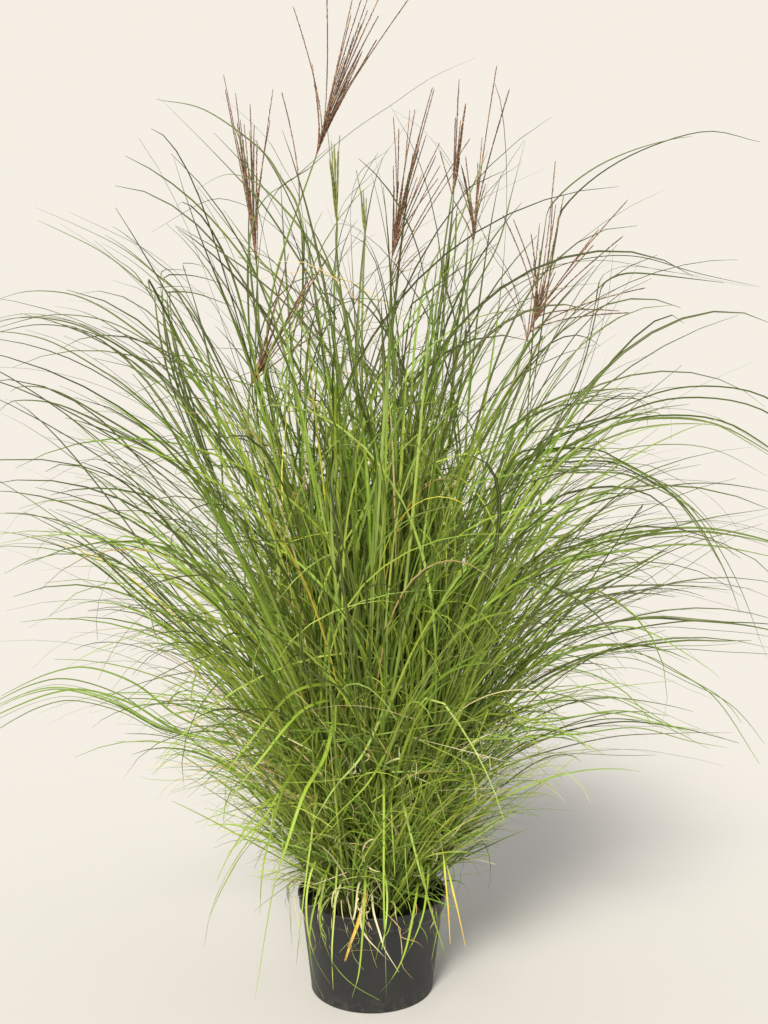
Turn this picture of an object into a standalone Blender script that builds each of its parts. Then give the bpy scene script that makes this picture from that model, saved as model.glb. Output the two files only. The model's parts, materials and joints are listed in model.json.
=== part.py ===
"""Potted clump of miscanthus grass: nursery pot, potting soil, leafy shoots, flowering stems and plumes.

Metres, +Z up, seen from the front along +Y. The origin is the centre of the pot's foot, on the surface it
stands on. Each leafy shoot is one slender arching solid that runs from the crown to its longest leaf's tip.
"""

import math
import random
from dataclasses import dataclass

import bmesh
import bpy
from mathutils import Matrix, Vector

NAME = "potted_miscanthus_grass"

# Nursery pot
POT_HEIGHT = 0.160
POT_FOOT_RADIUS = 0.102
POT_WALL_TOP_RADIUS = 0.1185
POT_WALL = 0.0018
POT_FLOOR = 0.0025
FOOT_BEVEL = 0.003
COLLAR_RADIUS = 0.1225
COLLAR_FLARE = 0.0004
COLLAR_DEPTH = 0.024
COLLAR_SLOPE = 0.006
LEDGE_SLOPE = 0.003
RIM_RADIUS = 0.125
RIM_DEPTH = 0.004
RIM_SLOPE = 0.001
POT_SIDES = 64
DRAIN_HOLES = 6
DRAIN_HOLE_RADIUS = 0.007
DRAIN_HOLE_SIDES = 16
DRAIN_CUTTER_DEPTH = 0.02
DRAIN_RING_RADIUS = 0.068
WELD = 0.00001

# Potting soil
SOIL_TOP = 0.135
SOIL_EDGE_DROP = 0.006
SOIL_CROWN_SHARE = 0.7
GAP = 0.0003

# Leafy shoots and stems
SHOOT_RADIUS = 0.005
SHOOT_TIP_RADIUS = 0.001
SHOOT_POINTS = 11
DEPTH_SHARE = 0.24
STEM_RADIUS = 0.0032
STEM_TOP_RADIUS = 0.0018
STEM_POINTS = 11
STEM_RING_RADIUS = 0.024
ROUND_SIX = 1
PLUME_GAP = 0.0010
PLUME_THICKNESS = 0.005
SEED = 11


@dataclass(frozen=True)
class ShootRing:
    """A ring of leafy shoots around the crown that rise and arch alike."""

    name: str
    base_radius: float
    length: float
    lean_start: float
    lean_end: float
    bend_power: float
    azimuths: tuple


@dataclass(frozen=True)
class FlowerStem:
    """A flowering stem by the points that it rises through, and the plume on its top."""

    route: tuple
    plume_top: tuple
    plume_width: float
    ripe: bool


def evenly(count, start):
    """Azimuths in degrees, evenly spaced from start."""
    return tuple(start + 360.0 * i / count for i in range(count))


RINGS = (
    ShootRing("upright_shoot", 0.044, 1.35, 3, 27, 1.6, (46, 97, 140, 181, 240, 289, 316, 359)),
    ShootRing("upper_shoot", 0.060, 1.38, 6, 86, 2.0, evenly(11, 359.5)),
    ShootRing("middle_shoot", 0.076, 1.06, 11, 120, 1.8, evenly(11, 12.0)),
    ShootRing("low_shoot", 0.091, 0.66, 16, 158, 1.4, evenly(10, 0.0)),
)

# Routes above the soil: points that each stem passes, its plume's foot last; X right, Y away, Z up
STEMS = (
    FlowerStem(
        route=((-0.10, 0.03, 0.62), (-0.190, 0.055, 1.05), (-0.203, 0.06, 1.225)),
        plume_top=(-0.238, 0.075, 1.575),
        plume_width=0.050,
        ripe=True,
    ),
    FlowerStem(
        route=((-0.09, -0.03, 0.62), (-0.178, -0.055, 1.06), (-0.092, -0.05, 1.375)),
        plume_top=(-0.028, -0.04, 1.640),
        plume_width=0.085,
        ripe=True,
    ),
    FlowerStem(
        route=((-0.11, -0.08, 0.60), (-0.185, -0.14, 0.88), (-0.186, -0.15, 0.985)),
        plume_top=(-0.095, -0.15, 1.175),
        plume_width=0.060,
        ripe=True,
    ),
    FlowerStem(
        route=((-0.03, 0.06, 0.65), (-0.070, 0.110, 1.10), (-0.064, 0.12, 1.310)),
        plume_top=(-0.084, 0.13, 1.490),
        plume_width=0.016,
        ripe=False,
    ),
    FlowerStem(
        route=((-0.01, -0.05, 0.65), (-0.016, -0.085, 1.06), (-0.010, -0.09, 1.235)),
        plume_top=(-0.018, -0.10, 1.320),
        plume_width=0.014,
        ripe=False,
    ),
    FlowerStem(
        route=((0.01, 0.06, 0.65), (0.028, 0.110, 1.07), (0.033, 0.12, 1.245)),
        plume_top=(0.078, 0.13, 1.540),
        plume_width=0.070,
        ripe=True,
    ),
    FlowerStem(
        route=((0.08, 0.02, 0.65), (0.150, 0.045, 1.08), (0.175, 0.05, 1.260)),
        plume_top=(0.196, 0.06, 1.560),
        plume_width=0.080,
        ripe=True,
    ),
    FlowerStem(
        route=((0.11, -0.04, 0.62), (0.215, -0.075, 0.96), (0.248, -0.08, 1.070)),
        plume_top=(0.345, -0.09, 1.330),
        plume_width=0.150,
        ripe=True,
    ),
    FlowerStem(
        route=((0.05, 0.0, 0.65), (0.100, 0.0, 1.08), (0.135, 0.0, 1.330)),
        plume_top=(0.158, 0.0, 1.530),
        plume_width=0.045,
        ripe=True,
    ),
)

# Plume outline: share of the length, share of the width
PLUME_OUTLINE = (
    (0.0, 0.05),
    (0.15, 0.16),
    (0.4, 0.52),
    (0.65, 0.92),
    (0.8, 1.0),
    (0.93, 0.72),
    (1.0, 0.25),
)


def clear_scene():
    """Remove every object that is in the file."""
    for item in list(bpy.data.objects):
        bpy.data.objects.remove(item, do_unlink=True)


def make_collection(name):
    """Return a new collection linked to the scene."""
    found = bpy.data.collections.new(name)
    bpy.context.scene.collection.children.link(found)
    return found


def make_material(name, colour, roughness, metallic=0.0):
    """Return a plain Principled material."""
    material = bpy.data.materials.new(name)
    material.use_nodes = True
    shader = material.node_tree.nodes["Principled BSDF"]
    shader.inputs["Base Color"].default_value = (*colour, 1.0)
    shader.inputs["Roughness"].default_value = roughness
    shader.inputs["Metallic"].default_value = metallic
    material.diffuse_color = (*colour, 1.0)
    return material


def place(name, mesh, material, collection):
    """Put a mesh in the collection as a named object with its material."""
    item = bpy.data.objects.new(name, mesh)
    mesh.materials.clear()
    mesh.materials.append(material)
    collection.objects.link(item)
    return item


def turn_profile(name, profile, material, collection):
    """Turn a profile of (radius, height) points, top of the outer side first, into a round solid."""
    mesh = bpy.data.meshes.new(name)
    points = [(radius, 0.0, height) for radius, height in profile]
    edges = [(i, i + 1) for i in range(len(points) - 1)]
    mesh.from_pydata(points, edges, [])
    item = place(name, mesh, material, collection)
    screw = item.modifiers.new("turn", "SCREW")
    screw.steps = POT_SIDES
    screw.render_steps = POT_SIDES
    screw.use_merge_vertices = True
    screw.merge_threshold = WELD
    screw.use_smooth_shade = True
    return item


def wall_radius(height):
    """Outer radius of the pot's wall at a height."""
    share = height / POT_HEIGHT
    return POT_FOOT_RADIUS + (POT_WALL_TOP_RADIUS - POT_FOOT_RADIUS) * share


def add_pot(parts, cutters):
    """Make the tapered pot with its collar, rim and drainage holes."""
    collar_foot = POT_HEIGHT - COLLAR_DEPTH
    floor_corner = POT_FLOOR + FOOT_BEVEL
    profile = [
        (0.0, POT_FLOOR),
        (POT_FOOT_RADIUS - POT_WALL - FOOT_BEVEL, POT_FLOOR),
        (wall_radius(floor_corner) - POT_WALL, floor_corner),
        (wall_radius(collar_foot) - POT_WALL, collar_foot),
        (COLLAR_RADIUS - POT_WALL, collar_foot + COLLAR_SLOPE),
        (COLLAR_RADIUS + COLLAR_FLARE - POT_WALL, POT_HEIGHT),
        (RIM_RADIUS, POT_HEIGHT),
        (RIM_RADIUS, POT_HEIGHT - RIM_DEPTH),
        (COLLAR_RADIUS + COLLAR_FLARE, POT_HEIGHT - RIM_DEPTH - RIM_SLOPE),
        (COLLAR_RADIUS, collar_foot),
        (wall_radius(collar_foot), collar_foot - LEDGE_SLOPE),
        (wall_radius(FOOT_BEVEL), FOOT_BEVEL),
        (POT_FOOT_RADIUS - FOOT_BEVEL, 0.0),
        (0.0, 0.0),
    ]
    black = make_material("pot_black_plastic", (0.030, 0.031, 0.033), 0.55)
    pot = turn_profile("pot", profile, black, parts)
    for i in range(DRAIN_HOLES):
        turn = 2.0 * math.pi * i / DRAIN_HOLES
        bpy.ops.mesh.primitive_cylinder_add(
            vertices=DRAIN_HOLE_SIDES,
            radius=DRAIN_HOLE_RADIUS,
            depth=DRAIN_CUTTER_DEPTH,
            location=(DRAIN_RING_RADIUS * math.cos(turn), DRAIN_RING_RADIUS * math.sin(turn), 0.0),
        )
        cutter = bpy.context.object
        cutter.name = f"drain_cutter_{i + 1}"
        for owner in list(cutter.users_collection):
            owner.objects.unlink(cutter)
        cutters.objects.link(cutter)
        cutter.hide_render = True
        cutter.display_type = "WIRE"
        cut = pot.modifiers.new(f"drain_{i + 1}", "BOOLEAN")
        cut.operation = "DIFFERENCE"
        cut.solver = "EXACT"
        cut.object = cutter


def add_soil(parts):
    """Make the root ball, which fills the pot to a little below its collar."""
    foot = POT_FLOOR + GAP
    shoulder = SOIL_TOP - SOIL_EDGE_DROP
    corner = foot + 2.0 * FOOT_BEVEL
    profile = [
        (0.0, SOIL_TOP),
        (SOIL_CROWN_SHARE * POT_WALL_TOP_RADIUS, SOIL_TOP),
        (wall_radius(shoulder) - POT_WALL - GAP, shoulder),
        (wall_radius(corner) - POT_WALL - GAP, corner),
        (POT_FOOT_RADIUS - POT_WALL - 2.0 * FOOT_BEVEL, foot),
        (0.0, foot),
    ]
    earth = make_material("potting_soil", (0.020, 0.015, 0.011), 0.95)
    turn_profile("potting_soil", profile, earth, parts)


def tapered_tube(name, points, radii):
    """Return a closed round mesh along the points, with a radius at each."""
    curve = bpy.data.curves.new(name, "CURVE")
    curve.dimensions = "3D"
    curve.bevel_depth = 1.0
    curve.bevel_resolution = ROUND_SIX
    curve.use_fill_caps = True
    curve.render_resolution_u = 0
    spline = curve.splines.new("POLY")
    spline.points.add(len(points) - 1)
    for point, place_at, radius in zip(spline.points, points, radii):
        point.co = (*place_at, 1.0)
        point.radius = radius
    guide = bpy.data.objects.new(name + "_guide", curve)
    bpy.context.scene.collection.objects.link(guide)
    graph = bpy.context.evaluated_depsgraph_get()
    mesh = bpy.data.meshes.new_from_object(guide.evaluated_get(graph))
    bpy.data.objects.remove(guide, do_unlink=True)
    work = bmesh.new()
    work.from_mesh(mesh)
    bmesh.ops.remove_doubles(work, verts=work.verts, dist=WELD)
    work.to_mesh(mesh)
    work.free()
    mesh.name = name
    return mesh


def shoot_route(ring, azimuth, length, lean_end):
    """Points of a shoot that starts steep and leans over more and more towards its tip."""
    radius = ring.base_radius
    height = SOIL_TOP + GAP + SHOOT_RADIUS * math.sin(math.radians(ring.lean_start))
    turn = math.radians(azimuth)
    points = []
    steps = SHOOT_POINTS - 1
    for i in range(SHOOT_POINTS):
        points.append((radius * math.cos(turn), radius * math.sin(turn), height))
        bent = ((i + 0.5) / steps) ** ring.bend_power
        lean = math.radians(ring.lean_start + (lean_end - ring.lean_start) * bent)
        radius += math.sin(lean) * length / steps
        height += math.cos(lean) * length / steps
    return points


def add_shoots(parts):
    """Make every ring of leafy shoots; those towards the front and back are a little shorter."""
    chance = random.Random(SEED)
    green = make_material("leaf_green", (0.22, 0.36, 0.06), 0.6)
    radii = [
        SHOOT_RADIUS + (SHOOT_TIP_RADIUS - SHOOT_RADIUS) * (i / (SHOOT_POINTS - 1)) ** 1.5
        for i in range(SHOOT_POINTS)
    ]
    for ring in RINGS:
        for number, azimuth in enumerate(ring.azimuths, start=1):
            depth = abs(math.sin(math.radians(azimuth)))
            length = ring.length * (1.0 - DEPTH_SHARE * depth) * chance.uniform(0.95, 1.05)
            lean_end = ring.lean_end * chance.uniform(0.92, 1.10)
            name = f"{ring.name}_{number:02d}"
            mesh = tapered_tube(name, shoot_route(ring, azimuth, length, lean_end), radii)
            place(name, mesh, green, parts)


def smooth_route(knots, count):
    """Points read at even steps from a smooth curve through the knots."""
    ends = [2.0 * knots[0] - knots[1], *knots, 2.0 * knots[-1] - knots[-2]]
    points = []
    for i in range(count):
        along = i / (count - 1) * (len(knots) - 1)
        span = min(int(along), len(knots) - 2)
        t = along - span
        a, b, c, d = ends[span : span + 4]
        cubic = (3.0 * b - a - 3.0 * c + d) * t**3
        square = (2.0 * a - 5.0 * b + 4.0 * c - d) * t**2
        points.append(0.5 * (2.0 * b + (c - a) * t + square + cubic))
    return points


def stem_foot(stem):
    """Where a stem leaves the soil: on the inner ring, on the side that it leans to."""
    lean = Vector(stem.route[1]) * Vector((1.0, 1.0, 0.0))
    foot = lean.normalized() * STEM_RING_RADIUS
    foot.z = SOIL_TOP + GAP + STEM_RADIUS * 0.3
    return foot


def fan_solid(name, foot, top, width):
    """Return a closed flat fan from the foot to the top, its flat side to the front."""
    axis = top - foot
    points = [Vector((0.0, 0.0, share * axis.length)) for share, _ in PLUME_OUTLINE]
    radii = [max(0.5 * width * share, STEM_TOP_RADIUS) for _, share in PLUME_OUTLINE]
    mesh = tapered_tube(name, points, radii)
    flatten = Matrix.Diagonal((1.0, PLUME_THICKNESS / width, 1.0, 1.0))
    turn = axis.normalized()
    side = Vector((0.0, 1.0, 0.0)).cross(turn).normalized()
    back = turn.cross(side)
    frame = Matrix((side, back, turn)).transposed().to_4x4()
    frame.translation = foot
    mesh.transform(frame @ flatten)
    return mesh


def add_flowers(parts):
    """Make every flowering stem and the plume on its top."""
    stem_green = make_material("stem_green", (0.30, 0.34, 0.08), 0.5)
    brown = make_material("plume_red_brown", (0.16, 0.065, 0.045), 0.8)
    olive = make_material("plume_olive_green", (0.23, 0.27, 0.05), 0.7)
    radii = [
        STEM_RADIUS + (STEM_TOP_RADIUS - STEM_RADIUS) * i / (STEM_POINTS - 1)
        for i in range(STEM_POINTS)
    ]
    for number, stem in enumerate(STEMS, start=1):
        knots = [stem_foot(stem), *(Vector(point) for point in stem.route)]
        points = smooth_route(knots, STEM_POINTS)
        name = f"flower_stem_{number}"
        place(name, tapered_tube(name, points, radii), stem_green, parts)
        top = Vector(stem.plume_top)
        foot = knots[-1] + (top - knots[-1]).normalized() * PLUME_GAP
        name = f"plume_{number}"
        mesh = fan_solid(name, foot, top, stem.plume_width)
        place(name, mesh, brown if stem.ripe else olive, parts)


def main():
    """Build the whole plant in its pot."""
    clear_scene()
    parts = make_collection(NAME)
    cutters = make_collection("cutters")
    add_pot(parts, cutters)
    add_soil(parts)
    add_shoots(parts)
    add_flowers(parts)


main()
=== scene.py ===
"""Looks of a potted clump of miscanthus grass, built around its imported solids.

Every leafy shoot becomes a few tillers whose blades arch out of the crown, every plume becomes a fan of
racemes set with spikelets, and the pot and its soil get their moulded and crumbly surfaces.
"""

from __future__ import annotations

import json
import logging
import math
import random
from dataclasses import dataclass, field
from enum import Enum

import bmesh
import bpy
import numpy as np
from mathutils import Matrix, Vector

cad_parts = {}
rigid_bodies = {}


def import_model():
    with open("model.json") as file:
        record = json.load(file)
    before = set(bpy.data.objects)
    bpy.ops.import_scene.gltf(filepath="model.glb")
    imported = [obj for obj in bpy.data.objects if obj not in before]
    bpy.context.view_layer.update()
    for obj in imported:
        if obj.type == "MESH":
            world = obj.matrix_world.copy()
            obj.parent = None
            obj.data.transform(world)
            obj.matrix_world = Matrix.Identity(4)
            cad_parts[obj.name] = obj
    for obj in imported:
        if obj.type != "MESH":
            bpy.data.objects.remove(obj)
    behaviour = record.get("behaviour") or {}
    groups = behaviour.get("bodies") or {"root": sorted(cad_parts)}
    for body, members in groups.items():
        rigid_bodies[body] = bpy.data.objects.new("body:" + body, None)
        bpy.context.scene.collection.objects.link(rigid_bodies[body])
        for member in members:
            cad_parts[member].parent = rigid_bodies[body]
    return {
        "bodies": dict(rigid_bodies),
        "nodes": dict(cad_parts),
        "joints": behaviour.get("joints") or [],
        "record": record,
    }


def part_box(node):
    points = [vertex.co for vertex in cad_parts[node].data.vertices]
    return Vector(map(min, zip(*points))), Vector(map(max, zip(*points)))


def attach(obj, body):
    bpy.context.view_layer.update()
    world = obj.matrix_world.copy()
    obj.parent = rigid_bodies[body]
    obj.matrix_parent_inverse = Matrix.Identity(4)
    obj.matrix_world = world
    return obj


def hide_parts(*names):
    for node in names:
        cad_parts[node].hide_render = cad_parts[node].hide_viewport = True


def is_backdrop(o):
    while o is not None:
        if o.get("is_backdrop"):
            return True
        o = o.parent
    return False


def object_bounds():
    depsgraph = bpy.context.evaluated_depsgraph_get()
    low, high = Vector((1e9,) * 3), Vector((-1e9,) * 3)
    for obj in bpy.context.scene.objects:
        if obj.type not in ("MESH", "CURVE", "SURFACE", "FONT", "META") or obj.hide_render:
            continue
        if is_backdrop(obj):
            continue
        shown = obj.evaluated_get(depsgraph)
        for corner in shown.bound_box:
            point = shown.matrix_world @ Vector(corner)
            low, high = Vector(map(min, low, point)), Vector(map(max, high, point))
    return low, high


ROOT = "root"
LEAF_ROOM = 0.012
DRY_HUE = 0.7
UV_NAME = "OFBake"
LOG = logging.getLogger("miscanthus")


def linear(code: str) -> tuple[float, float, float, float]:
    """Return the linear colour of a six-digit web colour.

    Args:
        code: The colour as six hexadecimal digits.

    Returns:
        Red, green, blue and a full alpha.
    """
    parts = [int(code[i : i + 2], 16) / 255.0 for i in (0, 2, 4)]
    red, green, blue = (c / 12.92 if c <= 0.04045 else ((c + 0.055) / 1.055) ** 2.4 for c in parts)
    return red, green, blue, 1.0


def smooth_step(low: float, high: float, value: np.ndarray) -> np.ndarray:
    """Return a soft ramp from 0 below low to 1 above high.

    Args:
        low: Value where the ramp starts.
        high: Value where the ramp ends.
        value: Values to read the ramp at.

    Returns:
        The ramp at each value.
    """
    share = np.clip((value - low) / (high - low), 0.0, 1.0)
    return share * share * (3.0 - 2.0 * share)


# ---------------------------------------------------------------------------------------------- node trees


class Graph:
    """A node tree being built, for geometry or for a shader."""

    MIX_AMOUNT, MIX_FIRST, MIX_SECOND, MIX_RESULT = 0, 6, 7, 2

    def __init__(self, tree: bpy.types.NodeTree) -> None:
        """Keep the tree that nodes are added to."""
        self.tree = tree

    def feed(self, socket: bpy.types.NodeSocket, value: object) -> None:
        """Link a socket to another one, or set its own value.

        Args:
            socket: The input to feed.
            value: An output socket, or a plain value.
        """
        if isinstance(value, bpy.types.NodeSocket):
            self.tree.links.new(value, socket)
        else:
            socket.default_value = value

    def node(self, kind: str, inputs: dict | None = None, **settings: object) -> bpy.types.Node:
        """Add a node.

        Args:
            kind: The node's type name.
            inputs: Values or output sockets by input name or number.
            settings: The node's own properties.

        Returns:
            The new node.
        """
        made = self.tree.nodes.new(kind)
        for name, value in settings.items():
            setattr(made, name, value)
        for name, value in (inputs or {}).items():
            self.feed(made.inputs[name], value)
        return made

    def group(self, tree: bpy.types.NodeTree, inputs: dict) -> bpy.types.Node:
        """Add a shader group with its own values."""
        return self.node("ShaderNodeGroup", inputs, node_tree=tree)

    def math(
        self, operation: str, first: object, second: object = 0.0, third: object = 0.5, clamp: bool = False
    ) -> bpy.types.NodeSocket:
        """Return the result of a Math node on up to three values or sockets."""
        values = {0: first, 1: second, 2: third}
        return self.node("ShaderNodeMath", values, operation=operation, use_clamp=clamp).outputs[0]

    def blend(self, amount: object, first: object, second: object, how: str = "MIX") -> bpy.types.NodeSocket:
        """Return two colours mixed.

        Args:
            amount: Share of the second colour.
            first: First colour.
            second: Second colour.
            how: The mix node's blend type.

        Returns:
            The mixed colour's output.
        """
        made = self.node("ShaderNodeMix", data_type="RGBA", blend_type=how)
        self.feed(made.inputs[self.MIX_AMOUNT], amount)
        self.feed(made.inputs[self.MIX_FIRST], first)
        self.feed(made.inputs[self.MIX_SECOND], second)
        return made.outputs[self.MIX_RESULT]

    def spread(
        self, value: object, low: float, high: float, start: float = 0.0, end: float = 1.0
    ) -> bpy.types.NodeSocket:
        """Return a value mapped smoothly: start at low, end at high."""
        inputs = {"Value": value, "From Min": low, "From Max": high, "To Min": start, "To Max": end}
        return self.node("ShaderNodeMapRange", inputs, interpolation_type="SMOOTHSTEP").outputs["Result"]

    def attribute(self, name: str) -> bpy.types.NodeSocket:
        """Return a number that a shader reads from the mesh."""
        return self.node("ShaderNodeAttribute", attribute_name=name).outputs["Fac"]

    def place(self) -> bpy.types.NodeSocket:
        """Return the shader's Object coordinates."""
        return self.node("ShaderNodeTexCoord").outputs["Object"]

    def ramp(self, value: object, stops: tuple[tuple[float, str], ...]) -> bpy.types.NodeSocket:
        """Return a colour read from a ramp.

        Args:
            value: Where on the ramp to read.
            stops: Places from 0 to 1 and their web colours.

        Returns:
            The colour's output.
        """
        made = self.node("ShaderNodeValToRGB", {"Fac": value})
        elements = made.color_ramp.elements
        elements[0].position, elements[0].color = stops[0][0], linear(stops[0][1])
        elements[1].position, elements[1].color = stops[-1][0], linear(stops[-1][1])
        for position, code in stops[1:-1]:
            elements.new(position).color = linear(code)
        return made.outputs["Color"]

    def bump(self, height: object, distance: float, strength: float) -> bpy.types.NodeSocket:
        """Return a normal bumped by a height."""
        made = self.node("ShaderNodeBump", {"Height": height, "Distance": distance, "Strength": strength})
        return made.outputs["Normal"]


@dataclass(frozen=True)
class Port:
    """A named input or output of a node group."""

    name: str
    kind: str
    default: object = None
    out: bool = False


def open_group(
    name: str, family: str, ports: tuple[Port, ...]
) -> tuple[Graph, bpy.types.Node, bpy.types.Node]:
    """Make a node group with named sockets.

    Args:
        name: The group's name.
        family: GeometryNodeTree or ShaderNodeTree.
        ports: The group's inputs and outputs.

    Returns:
        The graph, its input node and its output node.
    """
    tree = bpy.data.node_groups.new(name, family)
    for port in ports:
        way = "OUTPUT" if port.out else "INPUT"
        socket = tree.interface.new_socket(port.name, in_out=way, socket_type=port.kind)
        if port.default is not None:
            socket.default_value = port.default
    graph = Graph(tree)
    return graph, graph.node("NodeGroupInput"), graph.node("NodeGroupOutput")


FLOAT, VECTOR, SHAPE, MATERIAL, WHOLE = (
    "NodeSocketFloat",
    "NodeSocketVector",
    "NodeSocketGeometry",
    "NodeSocketMaterial",
    "NodeSocketInt",
)


# -------------------------------------------------------------------------------------------- shader groups


class Effects:
    """Shader groups that several finishes share."""

    def __init__(self) -> None:
        """Build each group once."""
        self.mottle = self.build_mottle()
        self.blade = self.build_blade()
        self.dust = self.build_dust()

    @staticmethod
    def build_mottle() -> bpy.types.NodeTree:
        """Build soft blotches with a finer grain over them."""
        graph, given, out = open_group(
            "mottle",
            "ShaderNodeTree",
            (
                Port("Place", VECTOR),
                Port("Scale", FLOAT, 20.0),
                Port("Contrast", FLOAT, 0.5),
                Port("Mask", FLOAT, out=True),
            ),
        )
        broad = graph.node(
            "ShaderNodeTexNoise",
            {"Vector": given.outputs["Place"], "Scale": given.outputs["Scale"], "Detail": 4.0},
        )
        centred = graph.math("SUBTRACT", broad.outputs["Fac"], 0.5)
        wide = graph.math("MULTIPLY", centred, graph.math("MULTIPLY", given.outputs["Contrast"], 4.0))
        graph.feed(out.inputs["Mask"], graph.math("ADD", wide, 0.5, clamp=True))
        return graph.tree

    @staticmethod
    def build_blade() -> bpy.types.NodeTree:
        """Build a grass blade's pale midrib and its fine lengthwise veins."""
        graph, given, out = open_group(
            "blade_lines",
            "ShaderNodeTree",
            (
                Port("Across", FLOAT),
                Port("Rib Width", FLOAT, 0.2),
                Port("Veins", FLOAT, 9.0),
                Port("Rib", FLOAT, out=True),
                Port("Vein", FLOAT, out=True),
            ),
        )
        off = graph.math("ABSOLUTE", given.outputs["Across"])
        share = graph.math("DIVIDE", off, given.outputs["Rib Width"])
        graph.feed(out.inputs["Rib"], graph.math("SUBTRACT", 1.0, graph.spread(share, 0.4, 1.0)))
        turns = graph.math("MULTIPLY", given.outputs["Across"], given.outputs["Veins"])
        wave = graph.math("COSINE", graph.math("MULTIPLY", turns, math.pi))
        graph.feed(out.inputs["Vein"], graph.math("MULTIPLY_ADD", wave, 0.5, 0.5))
        return graph.tree

    @staticmethod
    def build_dust() -> bpy.types.NodeTree:
        """Build broken patches, thickest in a band of height: settled dust at the pot's foot and a pale band
        at its ledge.
        """
        graph, given, out = open_group(
            "settled_dust",
            "ShaderNodeTree",
            (
                Port("Place", VECTOR),
                Port("Height", FLOAT, 0.1),
                Port("Reach", FLOAT, 0.02),
                Port("Grain", FLOAT, 90.0),
                Port("Mask", FLOAT, out=True),
            ),
        )
        height = graph.node("ShaderNodeSeparateXYZ", {0: given.outputs["Place"]}).outputs["Z"]
        away = graph.math("ABSOLUTE", graph.math("SUBTRACT", height, given.outputs["Height"]))
        near = graph.math("SUBTRACT", 1.0, graph.math("DIVIDE", away, given.outputs["Reach"]), clamp=True)
        noise = graph.node(
            "ShaderNodeTexNoise",
            {"Vector": given.outputs["Place"], "Scale": given.outputs["Grain"], "Detail": 6.0},
        )
        broken = graph.spread(noise.outputs["Fac"], 0.42, 0.66)
        graph.feed(out.inputs["Mask"], graph.math("MULTIPLY", near, broken))
        return graph.tree


def new_material(name: str) -> tuple[bpy.types.Material, Graph, bpy.types.Node]:
    """Make a material with an empty Principled shader.

    Args:
        name: The material's name.

    Returns:
        The material, its graph and its Principled node.
    """
    material = bpy.data.materials.new(name)
    material.use_nodes = True
    return material, Graph(material.node_tree), material.node_tree.nodes["Principled BSDF"]


@dataclass(frozen=True)
class LeafFinish:
    """Grass blade: a hue from deep green to straw, a pale midrib, fine veins, and on some blades a pale cast
    that is partly waxy bloom and partly painted sky sheen.
    """

    name: str = "grass_blade"
    rib_width: float = 0.2
    rib_share: float = 0.32
    veins: float = 7.0
    relief: float = 0.00012
    # Pale cast, partly real waxy bloom and partly painted sky sheen, and its greatest share.
    bloom_and_sheen: str = "B2C97A"
    bloom_and_sheen_share: float = 0.5
    vein: str = "D6E488"
    rib: str = "D2DF8E"
    hues: tuple[tuple[float, str], ...] = (
        (0.00, "31361A"),
        (0.20, "4D6218"),
        (0.38, "6F9420"),
        (0.54, "92AA32"),
        (0.66, "B2BE4A"),
        (0.74, "D6CC44"),
        (0.82, "DDAE3C"),
        (0.88, "BC8A4C"),
        (0.94, "CDB280"),
        (1.00, "DED4AE"),
    )

    def make(self, effects: Effects) -> bpy.types.Material:
        """Build the material.

        Args:
            effects: The shared shader groups.

        Returns:
            The finished material.
        """
        material, graph, shader = new_material(self.name)
        across = graph.attribute("across")
        lines = graph.group(
            effects.blade, {"Across": across, "Rib Width": self.rib_width, "Veins": self.veins}
        )
        blotch = graph.group(effects.mottle, {"Place": graph.place(), "Scale": 34.0, "Contrast": 0.5})
        drift = graph.math("MULTIPLY", graph.math("SUBTRACT", blotch.outputs["Mask"], 0.5), 0.07)
        hue = graph.math("ADD", graph.attribute("hue"), drift, clamp=True)
        body = graph.ramp(hue, self.hues)
        wander = graph.math("MULTIPLY", graph.attribute("row"), 0.731)
        own = graph.node(
            "ShaderNodeTexNoise", {"W": wander, "Scale": 1.0, "Detail": 0.0}, noise_dimensions="1D"
        )
        # Some blades take a pale cast: partly real waxy bloom, partly painted sky sheen.
        bloom_and_sheen = graph.spread(own.outputs["Fac"], 0.52, 0.75, 0.0, self.bloom_and_sheen_share)
        bloom_and_sheen = graph.math("MULTIPLY", bloom_and_sheen, graph.spread(hue, 0.12, 0.42))
        body = graph.blend(bloom_and_sheen, body, linear(self.bloom_and_sheen))
        veined = graph.blend(graph.math("MULTIPLY", lines.outputs["Vein"], 0.08), body, linear(self.vein))
        rib_amount = graph.math("MULTIPLY", lines.outputs["Rib"], self.rib_share)
        ribbed = graph.blend(rib_amount, veined, linear(self.rib))
        graph.feed(shader.inputs["Base Color"], ribbed)
        graph.feed(shader.inputs["Roughness"], graph.spread(blotch.outputs["Mask"], 0.0, 1.0, 0.38, 0.6))
        graph.feed(shader.inputs["Normal"], graph.bump(lines.outputs["Vein"], self.relief, 0.6))
        shader.inputs["Specular IOR Level"].default_value = 0.22
        return material


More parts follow.
